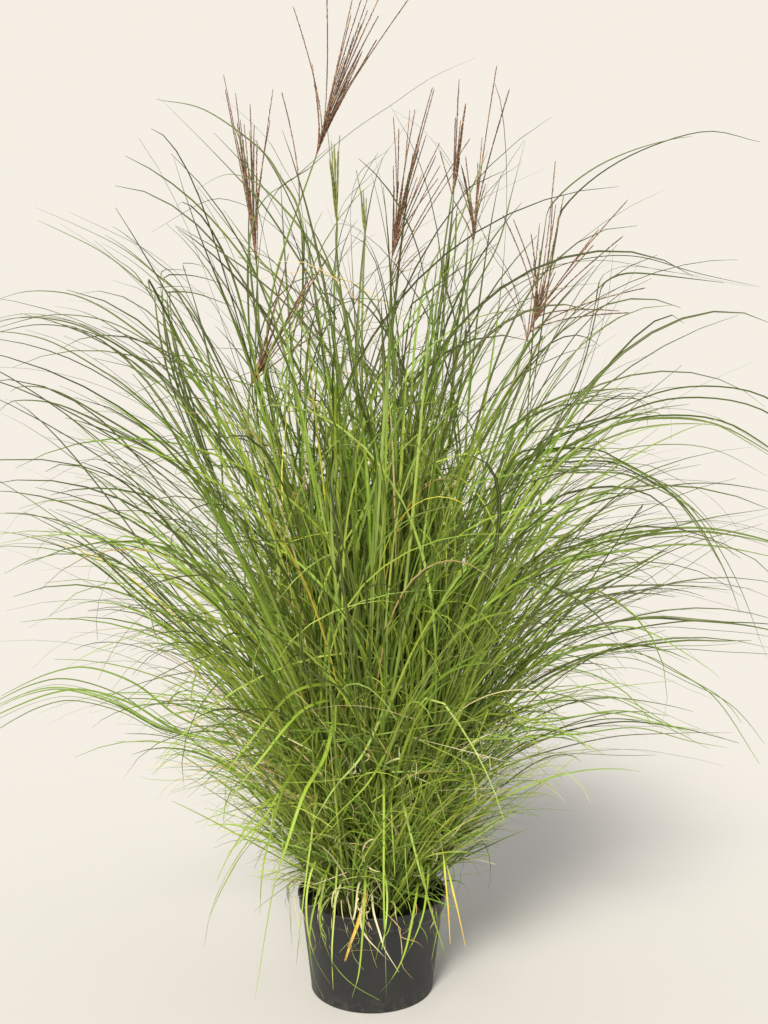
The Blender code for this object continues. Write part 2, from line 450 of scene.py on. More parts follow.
@dataclass(frozen=True)
class StalkFinish:
    """Stalk and leaf sheath: pale yellow-green, streaked lengthwise and reddened in places, darkening low
    down towards old brown sheaths and painted shade in the crown.
    """

    name: str = "grass_stalk"
    pale: str = "7F9438"
    green: str = "4F7026"
    blush: str = "8A6A3A"
    blush_share: float = 0.2
    shaded_old_sheath: str = "33311C"
    crown: tuple[float, float] = (0.16, 0.34)

    def make(self, effects: Effects) -> bpy.types.Material:
        """Build the material.

        Args:
            effects: The shared shader groups.

        Returns:
            The finished material.
        """
        material, graph, shader = new_material(self.name)
        blotch = graph.group(effects.mottle, {"Place": graph.place(), "Scale": 18.0, "Contrast": 0.9})
        streak = graph.group(effects.blade, {"Across": graph.attribute("across"), "Veins": 4.0})
        green = graph.blend(streak.outputs["Vein"], linear(self.green), linear(self.pale))
        red = graph.math("MULTIPLY", blotch.outputs["Mask"], self.blush_share)
        blushed = graph.blend(red, green, linear(self.blush))
        # Low down the stalks darken towards a deep brown: partly old sheaths, partly painted shade inside the
        # crown.
        height = graph.node("ShaderNodeSeparateXYZ", {0: graph.place()}).outputs["Z"]
        crown_shade_and_age = graph.spread(height, self.crown[0], self.crown[1], 0.9, 0.0)
        graph.feed(shader.inputs["Base Color"], graph.blend(crown_shade_and_age, blushed, linear(self.shaded_old_sheath)))
        graph.feed(shader.inputs["Roughness"], graph.spread(blotch.outputs["Mask"], 0.0, 1.0, 0.38, 0.58))
        graph.feed(shader.inputs["Normal"], graph.bump(streak.outputs["Vein"], 0.0002, 0.5))
        return material


@dataclass(frozen=True)
class RacemeFinish:
    """Spikelets and their thin stalks: each raceme shades from one colour to another."""

    name: str
    dark: str
    body: str
    glow: str
    roughness: float = 0.62

    def make(self, effects: Effects) -> bpy.types.Material:
        """Build the material.

        Args:
            effects: The shared shader groups.

        Returns:
            The finished material.
        """
        material, graph, shader = new_material(self.name)
        blotch = graph.group(effects.mottle, {"Place": graph.place(), "Scale": 160.0, "Contrast": 0.8})
        body = graph.blend(graph.attribute("hue"), linear(self.dark), linear(self.body))
        pale = graph.spread(blotch.outputs["Mask"], 0.45, 1.0, 0.0, 0.75)
        graph.feed(shader.inputs["Base Color"], graph.blend(pale, body, linear(self.glow)))
        graph.feed(shader.inputs["Roughness"], graph.spread(blotch.outputs["Mask"], 0.0, 1.0, 0.5, 0.8))
        graph.feed(shader.inputs["Normal"], graph.bump(blotch.outputs["Mask"], 0.0002, 0.5))
        return material


@dataclass(frozen=True)
class PotFinish:
    """Black moulded plastic, scuffed, with a pale broken band along the ledge and dust at the foot; each band
    is its height, its reach and its share.
    """

    name: str = "black_pot_plastic"
    body: str = "1A1B1D"
    worn: str = "2B2A28"
    dust: str = "7C776C"
    ledge_band: tuple[float, float, float] = (0.136, 0.004, 0.5)
    foot_dust: tuple[float, float, float] = (0.0, 0.03, 0.14)

    def make(self, effects: Effects) -> bpy.types.Material:
        """Build the material.

        Args:
            effects: The shared shader groups.

        Returns:
            The finished material.
        """
        material, graph, shader = new_material(self.name)
        place = graph.place()
        drawn = graph.node("ShaderNodeMapping", {"Vector": place, "Scale": (1.0, 1.0, 0.35)}).outputs[0]
        blotch = graph.group(effects.mottle, {"Place": drawn, "Scale": 28.0, "Contrast": 0.75})
        scuff = graph.node("ShaderNodeTexNoise", {"Vector": place, "Scale": 420.0, "Detail": 5.0})
        wear = graph.math("MULTIPLY", blotch.outputs["Mask"], 0.5)
        colour = graph.blend(wear, linear(self.body), linear(self.worn))
        # The band at the ledge is a pale broken line along it; the band at the foot is settled dust.
        for height, reach, share in (self.ledge_band, self.foot_dust):
            dust = graph.group(effects.dust, {"Place": place, "Height": height, "Reach": reach})
            settled = graph.math("MULTIPLY", dust.outputs["Mask"], share)
            colour = graph.blend(settled, colour, linear(self.dust))
        speck = graph.spread(scuff.outputs["Fac"], 0.66, 0.78, 0.0, 0.22)
        graph.feed(shader.inputs["Base Color"], graph.blend(speck, colour, linear(self.dust)))
        graph.feed(shader.inputs["Roughness"], graph.spread(blotch.outputs["Mask"], 0.0, 1.0, 0.42, 0.62))
        graph.feed(shader.inputs["Normal"], graph.bump(scuff.outputs["Fac"], 0.0003, 0.35))
        return material


@dataclass(frozen=True)
class SoilFinish:
    """Damp potting mix: nearly black, with paler fibres and bark."""

    name: str = "potting_mix"
    dark: str = "1C1612"
    body: str = "33281F"
    fibre: str = "6B543C"

    def make(self, effects: Effects) -> bpy.types.Material:
        """Build the material.

        Args:
            effects: The shared shader groups.

        Returns:
            The finished material.
        """
        material, graph, shader = new_material(self.name)
        blotch = graph.group(effects.mottle, {"Place": graph.place(), "Scale": 140.0, "Contrast": 0.9})
        body = graph.blend(blotch.outputs["Mask"], linear(self.dark), linear(self.body))
        pale = graph.spread(graph.attribute("hue"), 0.82, 1.0, 0.0, 0.8)
        graph.feed(shader.inputs["Base Color"], graph.blend(pale, body, linear(self.fibre)))
        graph.feed(shader.inputs["Roughness"], graph.spread(blotch.outputs["Mask"], 0.0, 1.0, 0.75, 0.98))
        graph.feed(shader.inputs["Normal"], graph.bump(blotch.outputs["Mask"], 0.002, 0.8))
        return material


# ------------------------------------------------------------------------------------------ geometry trees


class Section(Enum):
    """Cross-sections that a guide line can be swept with."""

    BLADE = "blade_sweep"
    ROUND = "stalk_sweep"


class Sweeps:
    """Geometry Nodes trees that turn guide lines into leaves, stalks and racemes."""

    ROUND_SIDES = 7
    STRIP_SHARE = 0.42

    def __init__(self) -> None:
        """Build each tree once."""
        self.trees = {section: self.build_sweep(section) for section in Section}
        self.raceme = self.build_raceme()
        self.scatter = self.build_scatter()

    @staticmethod
    def named(graph: Graph, name: str, kind: str = "FLOAT") -> bpy.types.NodeSocket:
        """Return an attribute of the geometry by its name."""
        made = graph.node("GeometryNodeInputNamedAttribute", {"Name": name}, data_type=kind)
        return made.outputs["Attribute"]

    @staticmethod
    def store(
        graph: Graph, shape: object, name: str, value: object, kind: str = "FLOAT", domain: str = "POINT"
    ) -> bpy.types.NodeSocket:
        """Return the geometry with a value stored on it under a name."""
        inputs = {"Geometry": shape, "Name": name, "Value": value}
        return graph.node("GeometryNodeStoreNamedAttribute", inputs, data_type=kind, domain=domain).outputs[0]

    def guide_curve(self, graph: Graph, guides: bpy.types.NodeSocket) -> bpy.types.NodeSocket:
        """Turn guide edges into curves with their own width and facing.

        Args:
            graph: The tree being built.
            guides: Mesh of guide edges.

        Returns:
            The curves.
        """
        curve = graph.node("GeometryNodeMeshToCurve", {"Mesh": guides}).outputs[0]
        facing = self.named(graph, "facing", "FLOAT_VECTOR")
        turned = graph.node("GeometryNodeSetCurveNormal", {"Curve": curve, "Normal": facing}, mode="FREE")
        inputs = {"Curve": turned.outputs[0], "Radius": self.named(graph, "half_width")}
        return graph.node("GeometryNodeSetCurveRadius", inputs).outputs[0]

    def profile(self, graph: Graph, section: Section, given: bpy.types.Node) -> bpy.types.NodeSocket:
        """Return a cross-section one unit wide each way, with its across attribute.

        Args:
            graph: The tree being built.
            section: Which cross-section.
            given: The group's input node.

        Returns:
            The closed profile curve.
        """
        if section is Section.BLADE:
            fold, thick = given.outputs["Fold"], given.outputs["Thickness"]
            low = graph.math("SUBTRACT", 0.0, thick)
            corners = [
                graph.node("ShaderNodeCombineXYZ", {"X": x, "Y": y}).outputs[0]
                for x, y in ((-1.0, fold), (0.0, low), (1.0, fold), (0.0, thick))
            ]
            shape = graph.node(
                "GeometryNodeCurvePrimitiveQuadrilateral",
                {f"Point {i + 1}": corner for i, corner in enumerate(corners)},
                mode="POINTS",
            )
        else:
            shape = graph.node(
                "GeometryNodeCurvePrimitiveCircle", {"Resolution": self.ROUND_SIDES, "Radius": 1.0}
            )
        across = graph.node("ShaderNodeSeparateXYZ", {0: graph.node("GeometryNodeInputPosition").outputs[0]})
        return self.store(graph, shape.outputs["Curve"], "across", across.outputs["X"])

    def lay_map(
        self, graph: Graph, shape: bpy.types.NodeSocket, rows: bpy.types.NodeSocket
    ) -> bpy.types.NodeSocket:
        """Give each swept guide its own strip of the texture map.

        Args:
            graph: The tree being built.
            shape: The swept mesh.
            rows: How many strips the map holds.

        Returns:
            The mesh with its map.
        """
        inside = graph.math("MULTIPLY_ADD", self.named(graph, "across"), self.STRIP_SHARE, 0.5)
        row = graph.math("DIVIDE", graph.math("ADD", self.named(graph, "row"), inside), rows)
        place = graph.node("ShaderNodeCombineXYZ", {"X": self.named(graph, "along"), "Y": row}).outputs[0]
        return self.store(graph, shape, UV_NAME, place, "FLOAT2", "CORNER")

    @staticmethod
    def close(graph: Graph, shape: bpy.types.NodeSocket, given: bpy.types.Node, out: bpy.types.Node) -> None:
        """End a tree: realize what is left and set its material.

        Args:
            graph: The tree being built.
            shape: The geometry to end with.
            given: The group's input node.
            out: The group's output node.
        """
        real = graph.node("GeometryNodeRealizeInstances", {"Geometry": shape}).outputs[0]
        inputs = {"Geometry": real, "Material": given.outputs["Finish"]}
        graph.feed(out.inputs["Geometry"], graph.node("GeometryNodeSetMaterial", inputs).outputs[0])

    def build_sweep(self, section: Section) -> bpy.types.NodeTree:
        """Build the tree that sweeps one cross-section along every guide.

        Args:
            section: Which cross-section.

        Returns:
            The geometry tree.
        """
        graph, given, out = open_group(
            section.value,
            "GeometryNodeTree",
            (
                Port("Geometry", SHAPE, out=True),
                Port("Guides", SHAPE),
                Port("Fold", FLOAT, 0.3),
                Port("Thickness", FLOAT, 0.05),
                Port("Rows", FLOAT, 1.0),
                Port("Finish", MATERIAL),
            ),
        )
        curve = self.guide_curve(graph, given.outputs["Guides"])
        swept = graph.node(
            "GeometryNodeCurveToMesh",
            {
                "Curve": curve,
                "Profile Curve": self.profile(graph, section, given),
                "Scale": self.named(graph, "half_width"),
                "Fill Caps": True,
            },
        ).outputs[0]
        mapped = self.lay_map(graph, swept, given.outputs["Rows"])
        self.close(graph, mapped, given, out)
        return graph.tree

    def build_raceme(self) -> bpy.types.NodeTree:
        """Build the tree that sets paired spikelets along thin stalks.

        Returns:
            The geometry tree.
        """
        graph, given, out = open_group(
            "raceme_sweep",
            "GeometryNodeTree",
            (
                Port("Geometry", SHAPE, out=True),
                Port("Guides", SHAPE),
                Port("Spacing", FLOAT, 0.0045),
                Port("Spikelet Length", FLOAT, 0.006),
                Port("Spikelet Width", FLOAT, 0.0011),
                Port("Splay", FLOAT, 0.3),
                Port("Seed", WHOLE, 3),
                Port("Finish", MATERIAL),
            ),
        )
        curve = self.guide_curve(graph, given.outputs["Guides"])
        circle = graph.node("GeometryNodeCurvePrimitiveCircle", {"Resolution": 4, "Radius": 1.0})
        stalk = graph.node(
            "GeometryNodeCurveToMesh",
            {
                "Curve": curve,
                "Profile Curve": circle.outputs["Curve"],
                "Scale": self.named(graph, "half_width"),
                "Fill Caps": True,
            },
        ).outputs[0]
        points = graph.node(
            "GeometryNodeCurveToPoints", {"Curve": curve, "Length": given.outputs["Spacing"]}, mode="LENGTH"
        )
        half_length = graph.math("MULTIPLY", given.outputs["Spikelet Length"], 0.5)
        grain = graph.node("GeometryNodeMeshIcoSphere", {"Radius": 1.0, "Subdivisions": 1}).outputs["Mesh"]
        size = graph.node(
            "ShaderNodeCombineXYZ",
            {
                "X": given.outputs["Spikelet Width"],
                "Y": given.outputs["Spikelet Width"],
                "Z": half_length,
            },
        ).outputs[0]
        lift = graph.node("ShaderNodeCombineXYZ", {"Z": half_length})
        grain = graph.node(
            "GeometryNodeTransform", {"Geometry": grain, "Scale": size, "Translation": lift.outputs[0]}
        ).outputs[0]
        index = graph.node("GeometryNodeInputIndex").outputs[0]
        shift = graph.node(
            "FunctionNodeRandomValue",
            {2: -0.5, 3: 0.5, "ID": index, "Seed": given.outputs["Seed"]},
            data_type="FLOAT",
        ).outputs[1]
        roll = graph.math("ADD", graph.math("MULTIPLY", index, math.pi * 0.97), shift)
        tilt = graph.node("ShaderNodeCombineXYZ", {"X": given.outputs["Splay"]}).outputs[0]
        spin = graph.node("ShaderNodeCombineXYZ", {"Z": roll}).outputs[0]
        turned = graph.node(
            "FunctionNodeRotateRotation",
            {"Rotation": points.outputs["Rotation"], "Rotate By": spin},
            rotation_space="LOCAL",
        ).outputs[0]
        turned = graph.node(
            "FunctionNodeRotateRotation", {"Rotation": turned, "Rotate By": tilt}, rotation_space="LOCAL"
        ).outputs[0]
        grow = graph.node(
            "FunctionNodeRandomValue",
            {2: 0.65, 3: 1.2, "ID": index, "Seed": graph.math("ADD", given.outputs["Seed"], 5.0)},
            data_type="FLOAT",
        ).outputs[1]
        grow = graph.math("MULTIPLY", grow, self.named(graph, "vigour"))
        set_out = graph.node(
            "GeometryNodeInstanceOnPoints",
            {"Points": points.outputs["Points"], "Instance": grain, "Rotation": turned, "Scale": grow},
        ).outputs[0]
        joined = graph.node("GeometryNodeJoinGeometry")
        graph.tree.links.new(stalk, joined.inputs[0])
        graph.tree.links.new(set_out, joined.inputs[0])
        self.close(graph, joined.outputs[0], given, out)
        return graph.tree

    def build_scatter(self) -> bpy.types.NodeTree:
        """Build the tree that strews crumbs over a ground's upper side, inside a reach from its middle.

        Returns:
            The geometry tree.
        """
        graph, given, out = open_group(
            "crumb_scatter",
            "GeometryNodeTree",
            (
                Port("Geometry", SHAPE, out=True),
                Port("Ground", SHAPE),
                Port("Density", FLOAT, 30000.0),
                Port("Crumb Size", FLOAT, 0.0016),
                Port("Reach", FLOAT, 0.1),
                Port("Least Rise", FLOAT, 0.35),
                Port("Seed", WHOLE, 5),
                Port("Finish", MATERIAL),
            ),
        )
        spot = graph.node("GeometryNodeInputPosition").outputs[0]
        level = graph.node("ShaderNodeVectorMath", {0: spot, 1: (1.0, 1.0, 0.0)}, operation="MULTIPLY")
        away = graph.node("ShaderNodeVectorMath", {0: level.outputs[0]}, operation="LENGTH").outputs["Value"]
        inner = graph.math("LESS_THAN", away, given.outputs["Reach"])
        normal = graph.node("ShaderNodeSeparateXYZ", {0: graph.node("GeometryNodeInputNormal").outputs[0]})
        upper = graph.math("GREATER_THAN", normal.outputs["Z"], given.outputs["Least Rise"])
        spots = graph.node(
            "GeometryNodeDistributePointsOnFaces",
            {
                "Mesh": given.outputs["Ground"],
                "Selection": graph.math("MULTIPLY", inner, upper),
                "Density": given.outputs["Density"],
                "Seed": given.outputs["Seed"],
            },
        )
        crumb = graph.node("GeometryNodeMeshIcoSphere", {"Radius": 1.0, "Subdivisions": 1}).outputs["Mesh"]
        turn = graph.node(
            "FunctionNodeRandomValue", {0: (0.0, 0.0, 0.0), 1: (6.3, 6.3, 6.3)}, data_type="FLOAT_VECTOR"
        ).outputs[0]
        size = graph.node(
            "FunctionNodeRandomValue", {0: (0.4, 0.4, 0.3), 1: (1.7, 1.3, 0.9)}, data_type="FLOAT_VECTOR"
        ).outputs[0]
        scaled = graph.node(
            "ShaderNodeVectorMath", {0: size, "Scale": given.outputs["Crumb Size"]}, operation="SCALE"
        )
        hue = graph.node("FunctionNodeRandomValue", {2: 0.0, 3: 1.0}, data_type="FLOAT").outputs[1]
        marked = self.store(graph, spots.outputs["Points"], "hue", hue)
        strewn = graph.node(
            "GeometryNodeInstanceOnPoints",
            {"Points": marked, "Instance": crumb, "Rotation": turn, "Scale": scaled.outputs[0]},
        ).outputs[0]
        joined = graph.node("GeometryNodeJoinGeometry")
        graph.tree.links.new(given.outputs["Ground"], joined.inputs[0])
        graph.tree.links.new(strewn, joined.inputs[0])
        self.close(graph, joined.outputs[0], given, out)
        return graph.tree

    @staticmethod
    def apply(
        tree: bpy.types.NodeTree, name: str, mesh: bpy.types.Mesh, values: dict[str, object]
    ) -> bpy.types.Object:
        """Run a tree on a mesh and keep the result as a plain mesh object.

        Args:
            tree: The geometry tree.
            name: The new piece's name.
            mesh: What the tree is given.
            values: The tree's inputs by name.

        Returns:
            The finished piece.
        """
        guide = bpy.data.objects.new(name + "_guide", mesh)
        bpy.context.scene.collection.objects.link(guide)
        modifier = guide.modifiers.new("grow", "NODES")
        modifier.node_group = tree
        for socket in tree.interface.items_tree:
            if socket.in_out == "INPUT" and socket.name in values:
                modifier[socket.identifier] = values[socket.name]
        graph = bpy.context.evaluated_depsgraph_get()
        result = bpy.data.meshes.new_from_object(guide.evaluated_get(graph))
        bpy.data.objects.remove(guide, do_unlink=True)
        result.name = name
        piece = bpy.data.objects.new(name, result)
        bpy.context.scene.collection.objects.link(piece)
        return piece


# ------------------------------------------------------------------------------------------------- guides


@dataclass
class Guides:
    """Guide lines for one piece, with what each point carries."""

    lines: list[np.ndarray] = field(default_factory=list)
    widths: list[np.ndarray] = field(default_factory=list)
    facings: list[np.ndarray] = field(default_factory=list)
    hues: list[np.ndarray] = field(default_factory=list)

    def add(self, line: np.ndarray, width: np.ndarray, facing: np.ndarray, hue: np.ndarray) -> None:
        """Add one guide line.

        Args:
            line: Its points.
            width: Half its width at each point.
            facing: The direction that its width lies along, at each point.
            hue: Its place on the colour ramp at each point.
        """
        self.lines.append(line)
        self.widths.append(width)
        self.facings.append(facing)
        self.hues.append(hue)

    def mesh(self, name: str) -> bpy.types.Mesh:
        """Return the guides as one mesh of edges with attributes.

        Args:
            name: The mesh's name.

        Returns:
            The guide mesh.
        """
        points = np.concatenate(self.lines)
        edges: list[tuple[int, int]] = []
        start = 0
        for line in self.lines:
            edges += [(start + i, start + i + 1) for i in range(len(line) - 1)]
            start += len(line)
        mesh = bpy.data.meshes.new(name)
        mesh.from_pydata(points.tolist(), edges, [])
        along = np.concatenate([np.linspace(0.0, 1.0, len(line)) for line in self.lines])
        row = np.concatenate([np.full(len(line), i) for i, line in enumerate(self.lines)])
        numbers = {
            "half_width": np.concatenate(self.widths),
            "along": along,
            "row": row,
            "hue": np.concatenate(self.hues),
            "vigour": 1.0 - 0.25 * smooth_step(0.9, 1.0, along),
        }
        for label, values in numbers.items():
            mesh.attributes.new(label, "FLOAT", "POINT").data.foreach_set("value", values.astype(np.float32))
        facing = np.concatenate(self.facings).astype(np.float32)
        mesh.attributes.new("facing", "FLOAT_VECTOR", "POINT").data.foreach_set("vector", facing.ravel())
        return mesh


@dataclass(frozen=True)
class Arch:
    """A line that starts one way and bends over towards a side; angles in degrees, sizes in metres.

    It starts at lean_start towards azimuth, and bends towards end_azimuth until it leans lean_end that way.
    """

    foot: tuple[float, float, float]
    azimuth: float
    length: float
    lean_start: float
    lean_end: float
    bend_power: float = 1.6
    end_azimuth: float | None = None
    sway: float = 0.0
    sway_phase: float = 0.0
    kink_at: float = 0.0
    kink_turn: float = 0.0
    steps: int = 18

    def line(self) -> tuple[np.ndarray, np.ndarray]:
        """Work out the line and its directions.

        Returns:
            The points, and the unit direction at each point.
        """
        share = np.linspace(0.0, 1.0, self.steps + 1)
        tilt, first = math.radians(self.lean_start), math.radians(self.azimuth)
        start = np.array([math.sin(tilt) * math.cos(first), math.sin(tilt) * math.sin(first), math.cos(tilt)])
        last = math.radians(self.azimuth if self.end_azimuth is None else self.end_azimuth)
        out = np.array([math.cos(last), math.sin(last), 0.0])
        across = out - start * float(out @ start)
        across /= np.linalg.norm(across)
        slope = math.degrees(math.atan2(float(start @ out), start[2]))
        lean = slope + (self.lean_end - slope) * share**self.bend_power
        if self.kink_at > 0.0:
            lean = lean + self.kink_turn * smooth_step(self.kink_at - 0.015, self.kink_at + 0.015, share)
        angle = np.radians(lean - slope)[:, None]
        heading = start * np.cos(angle) + across * np.sin(angle)
        drift = np.radians(self.sway) * np.sin(2.0 * math.pi * (1.3 * share + self.sway_phase)) * share
        heading = np.stack(
            [
                heading[:, 0] * np.cos(drift) - heading[:, 1] * np.sin(drift),
                heading[:, 0] * np.sin(drift) + heading[:, 1] * np.cos(drift),
                heading[:, 2],
            ],
            axis=1,
        )
        middle = heading[:-1] + heading[1:]
        middle /= np.linalg.norm(middle, axis=1, keepdims=True)
        points = np.concatenate([np.zeros((1, 3)), np.cumsum(middle, axis=0)]) * (self.length / self.steps)
        return points + np.array(self.foot), heading


def facing_across(heading: np.ndarray, twist: np.ndarray) -> np.ndarray:
    """Return the level direction across a line, turned about the line by a twist.

    Args:
        heading: Unit directions along the line.
        twist: Twist in radians at each point.

    Returns:
        The direction across at each point.
    """
    level = np.cross(heading, np.array([0.0, 0.0, 1.0]))
    size = np.linalg.norm(level, axis=1, keepdims=True)
    level = np.where(size > 1e-4, level / np.maximum(size, 1e-4), np.array([[1.0, 0.0, 0.0]]))
    lift = np.cross(level, heading)
    return level * np.cos(twist)[:, None] + lift * np.sin(twist)[:, None]


@dataclass(frozen=True)
class Bounds:
    """Where leaves may be: outside the pot's wall, above the floor and inside the clump's own size."""

    low: tuple[float, float, float]
    high: tuple[float, float, float]
    rim_radius: float = 0.121
    rim_height: float = 0.160
    wall_room: float = 0.012
    floor_room: float = 0.006
    heights: tuple[float, ...] = (0.16, 0.27, 0.42, 0.52, 0.62, 0.95, 1.15, 1.30, 1.40, 1.46, 1.50)
    reaches: tuple[float, ...] = (0.20, 0.28, 0.55, 0.69, 0.77, 0.76, 0.62, 0.46, 0.34, 0.22, 0.0)
    front_share: float = 0.42

    def allow(self, line: np.ndarray) -> bool:
        """Tell whether a line keeps clear of the pot, the floor and the clump's limits.

        Args:
            line: The points of the line.

        Returns:
            True if the line may stay.
        """
        radius = np.hypot(line[:, 0], line[:, 1])
        low = line[:, 2] < self.rim_height + 0.004
        near = (radius > self.rim_radius - self.wall_room) & (radius < self.rim_radius + self.wall_room)
        under = (radius < self.rim_radius) & (line[:, 2] < self.rim_height - 0.035)
        inside = bool(np.all(line > np.array(self.low)) and np.all(line < np.array(self.high)))
        front = np.clip(-line[:, 1] / np.maximum(radius, 0.02), 0.0, 1.0) * (line[:, 2] < 0.7)
        reach = radius * (1.0 + self.front_share * front)
        inside = inside and bool(np.all(reach < np.interp(line[:, 2], self.heights, self.reaches) + 0.02))
        return inside and not np.any(low & near) and not np.any(under) and line[:, 2].min() > self.floor_room


# --------------------------------------------------------------------------------------------- the clump


@dataclass(frozen=True)
class Habit:
    """How the tillers and blades of one ring of shoots grow; ranges are low to high.

    A tiller's blades leave it to two sides in turn. Plane is how many degrees those sides may be
    turned from the way the shoot itself heads.
    """

    tillers: int
    stalk_length: tuple[float, float]
    stalk_lean: tuple[float, float]
    leaves: int
    leaf_length: tuple[float, float]
    leaf_lean: tuple[float, float]
    plane: float
    half_width: tuple[float, float]
    hue: tuple[float, float]
    blade_start: tuple[float, float]


class Ring(Enum):
    """The four rings of shoots around the crown."""

    UPRIGHT = "upright_shoot"
    UPPER = "upper_shoot"
    MIDDLE = "middle_shoot"
    LOW = "low_shoot"


HABITS = {
    Ring.UPRIGHT: Habit(
        tillers=7,
        stalk_length=(0.42, 0.88),
        stalk_lean=(0, 14),
        leaves=9,
        leaf_length=(0.32, 0.62),
        leaf_lean=(12, 105),
        plane=180,
        half_width=(0.0012, 0.0025),
        hue=(0.16, 0.63),
        blade_start=(4, 16),
    ),
    Ring.UPPER: Habit(
        tillers=7,
        stalk_length=(0.42, 0.76),
        stalk_lean=(9, 25),
        leaves=9,
        leaf_length=(0.46, 0.86),
        leaf_lean=(45, 130),
        plane=65,
        half_width=(0.0012, 0.0024),
        hue=(0.12, 0.61),
        blade_start=(4, 18),
    ),
    Ring.MIDDLE: Habit(
        tillers=9,
        stalk_length=(0.18, 0.46),
        stalk_lean=(14, 38),
        leaves=9,
        leaf_length=(0.40, 0.80),
        leaf_lean=(62, 142),
        plane=60,
        half_width=(0.0011, 0.0023),
        hue=(0.14, 0.62),
        blade_start=(4, 22),
    ),
    Ring.LOW: Habit(
        tillers=10,
        stalk_length=(0.04, 0.15),
        stalk_lean=(15, 50),
        leaves=9,
        leaf_length=(0.14, 0.42),
        leaf_lean=(40, 160),
        plane=180,
        half_width=(0.0008, 0.0016),
        hue=(0.20, 0.66),
        blade_start=(5, 40),
    ),
}


@dataclass
class Shoot:
    """One leafy shoot: tillers that rise from its solid's foot and the blades they carry."""

    node: bpy.types.Object
    ring: Ring
    seed: int
    bounds: Bounds
    fold: float = -0.30
    thickness: float = 0.055
    tip_half_width: float = 0.0003
    crown_radius: float = 0.092
    stalk_half_width: tuple[float, float] = (0.0024, 0.0011)
    kinked_share: float = 0.09
    stiff_share: float = 0.42
    broad_share: float = 0.08
    broad_by: float = 1.4
    dry_narrower: float = 0.62

    def __post_init__(self) -> None:
        """Read the foot and the heading of the shoot from its solid."""
        points = np.array([v.co for v in self.node.data.vertices])
        self.foot = points[points[:, 2] < points[:, 2].min() + 0.004].mean(axis=0)
        tip = points[np.argmax(np.hypot(points[:, 0], points[:, 1]))]
        self.azimuth = math.degrees(math.atan2(tip[1] - self.foot[1], tip[0] - self.foot[0]))
        self.chance = random.Random(self.seed)
        self.habit = HABITS[self.ring]

    def pick(self, span: tuple[float, float]) -> float:
        """Return a number from a range."""
        return self.chance.uniform(*span)

    @property
    def inward(self) -> float:
        """Return how far towards the crown's middle a tiller stands, from 0 to 1."""
        return self.chance.uniform(0.1, 1.0) if self.ring is Ring.UPRIGHT else self.chance.uniform(0.75, 1.0)

    def stalk(self) -> tuple[np.ndarray, np.ndarray]:
        """Grow one tiller's stalk from near the shoot's foot.

        Returns:
            The stalk's points and directions.
        """
        for _ in range(12):
            foot = self.foot * np.array([self.inward, self.inward, 1.0])
            foot = foot + np.array([self.chance.gauss(0, 0.008), self.chance.gauss(0, 0.008), -0.004])
            reach = math.hypot(foot[0], foot[1])
            if reach < self.crown_radius:
                break
        arch = Arch(
            foot=tuple(foot),
            azimuth=self.azimuth + self.chance.gauss(0, 9),
            length=self.pick(self.habit.stalk_length),
            lean_start=self.pick((2, 7)) + 60.0 * max(reach - 0.03, 0.0),
            lean_end=self.pick(self.habit.stalk_lean),
            bend_power=1.2,
        )
        return arch.line()

    def blade(
        self, root: np.ndarray, heading: np.ndarray, side: float
    ) -> tuple[np.ndarray, np.ndarray] | None:
        """Grow one blade that keeps clear of the pot and floor.

        Args:
            root: Where it leaves its stalk.
            heading: The stalk's direction there.
            side: The way it leaves the stalk, as a turn in degrees.

        Returns:
            The blade's points and directions, or None if no try was clear.
        """
        out = np.array([math.cos(math.radians(side)), math.sin(math.radians(side)), 0.0])
        for attempt in range(12):
            leave = heading + out * math.tan(math.radians(self.pick(self.habit.blade_start)))
            leave = leave / np.linalg.norm(leave)
            lean = math.degrees(math.acos(min(1.0, leave[2])))
            turn = math.degrees(math.atan2(leave[1], leave[0]))
            kinked = self.chance.random() < self.kinked_share
            stiff = self.chance.random() < self.stiff_share
            arch = Arch(
                foot=tuple(root),
                azimuth=turn,
                end_azimuth=side + self.chance.gauss(0, 20),
                length=self.pick(self.habit.leaf_length) * (1.0 - 0.045 * attempt),
                lean_start=lean,
                lean_end=max(lean + 3.0, self.pick(self.habit.leaf_lean)),
                bend_power=self.pick((2.4, 4.6)) if stiff else self.pick((1.1, 2.2)),
                sway=self.chance.gauss(0, 5),
                sway_phase=self.chance.random(),
                kink_at=self.pick((0.42, 0.8)) if kinked else 0.0,
                kink_turn=self.pick((30, 80)),
                steps=15,
            )
            points, directions = arch.line()
            if self.bounds.allow(points):
                return points, directions
        return None

    def widths(self, count: int, half: float) -> np.ndarray:
        """Return a blade's half width from its foot to its needle tip.

        Args:
            count: Number of points.
            half: Half width at its widest.

        Returns:
            Half width at each point.
        """
        share = np.linspace(0.0, 1.0, count)
        return half * np.minimum(1.0, 0.55 + 1.8 * share) * (1.0 - share**2.6) ** 0.9 + self.tip_half_width

    def hue_along(self, points: np.ndarray, base: float) -> np.ndarray:
        """Return a blade's hue, darkened by painted shade where it is high, far out and low in the crown, and
        drier at its tip.

        Args:
            points: The blade's points.
            base: The blade's own hue.

        Returns:
            The hue at each point.
        """
        share = np.linspace(0.0, 1.0, len(points))
        # Painted shade: fresh blades darken high up and far out, where they are seen backlit, and low in the
        # crown.
        high = smooth_step(0.86, 1.24, points[:, 2])
        far = smooth_step(0.22, 0.55, np.hypot(points[:, 0], points[:, 1]))
        crown = 1.0 - smooth_step(0.15, 0.32, points[:, 2])
        painted_shade = 0.40 * high + 0.26 * far + 0.22 * crown
        fresh = 1.0 if base < DRY_HUE else 0.0
        return np.clip(base - painted_shade * fresh, 0.0, 1.0) + 0.10 * smooth_step(0.9, 1.0, share)

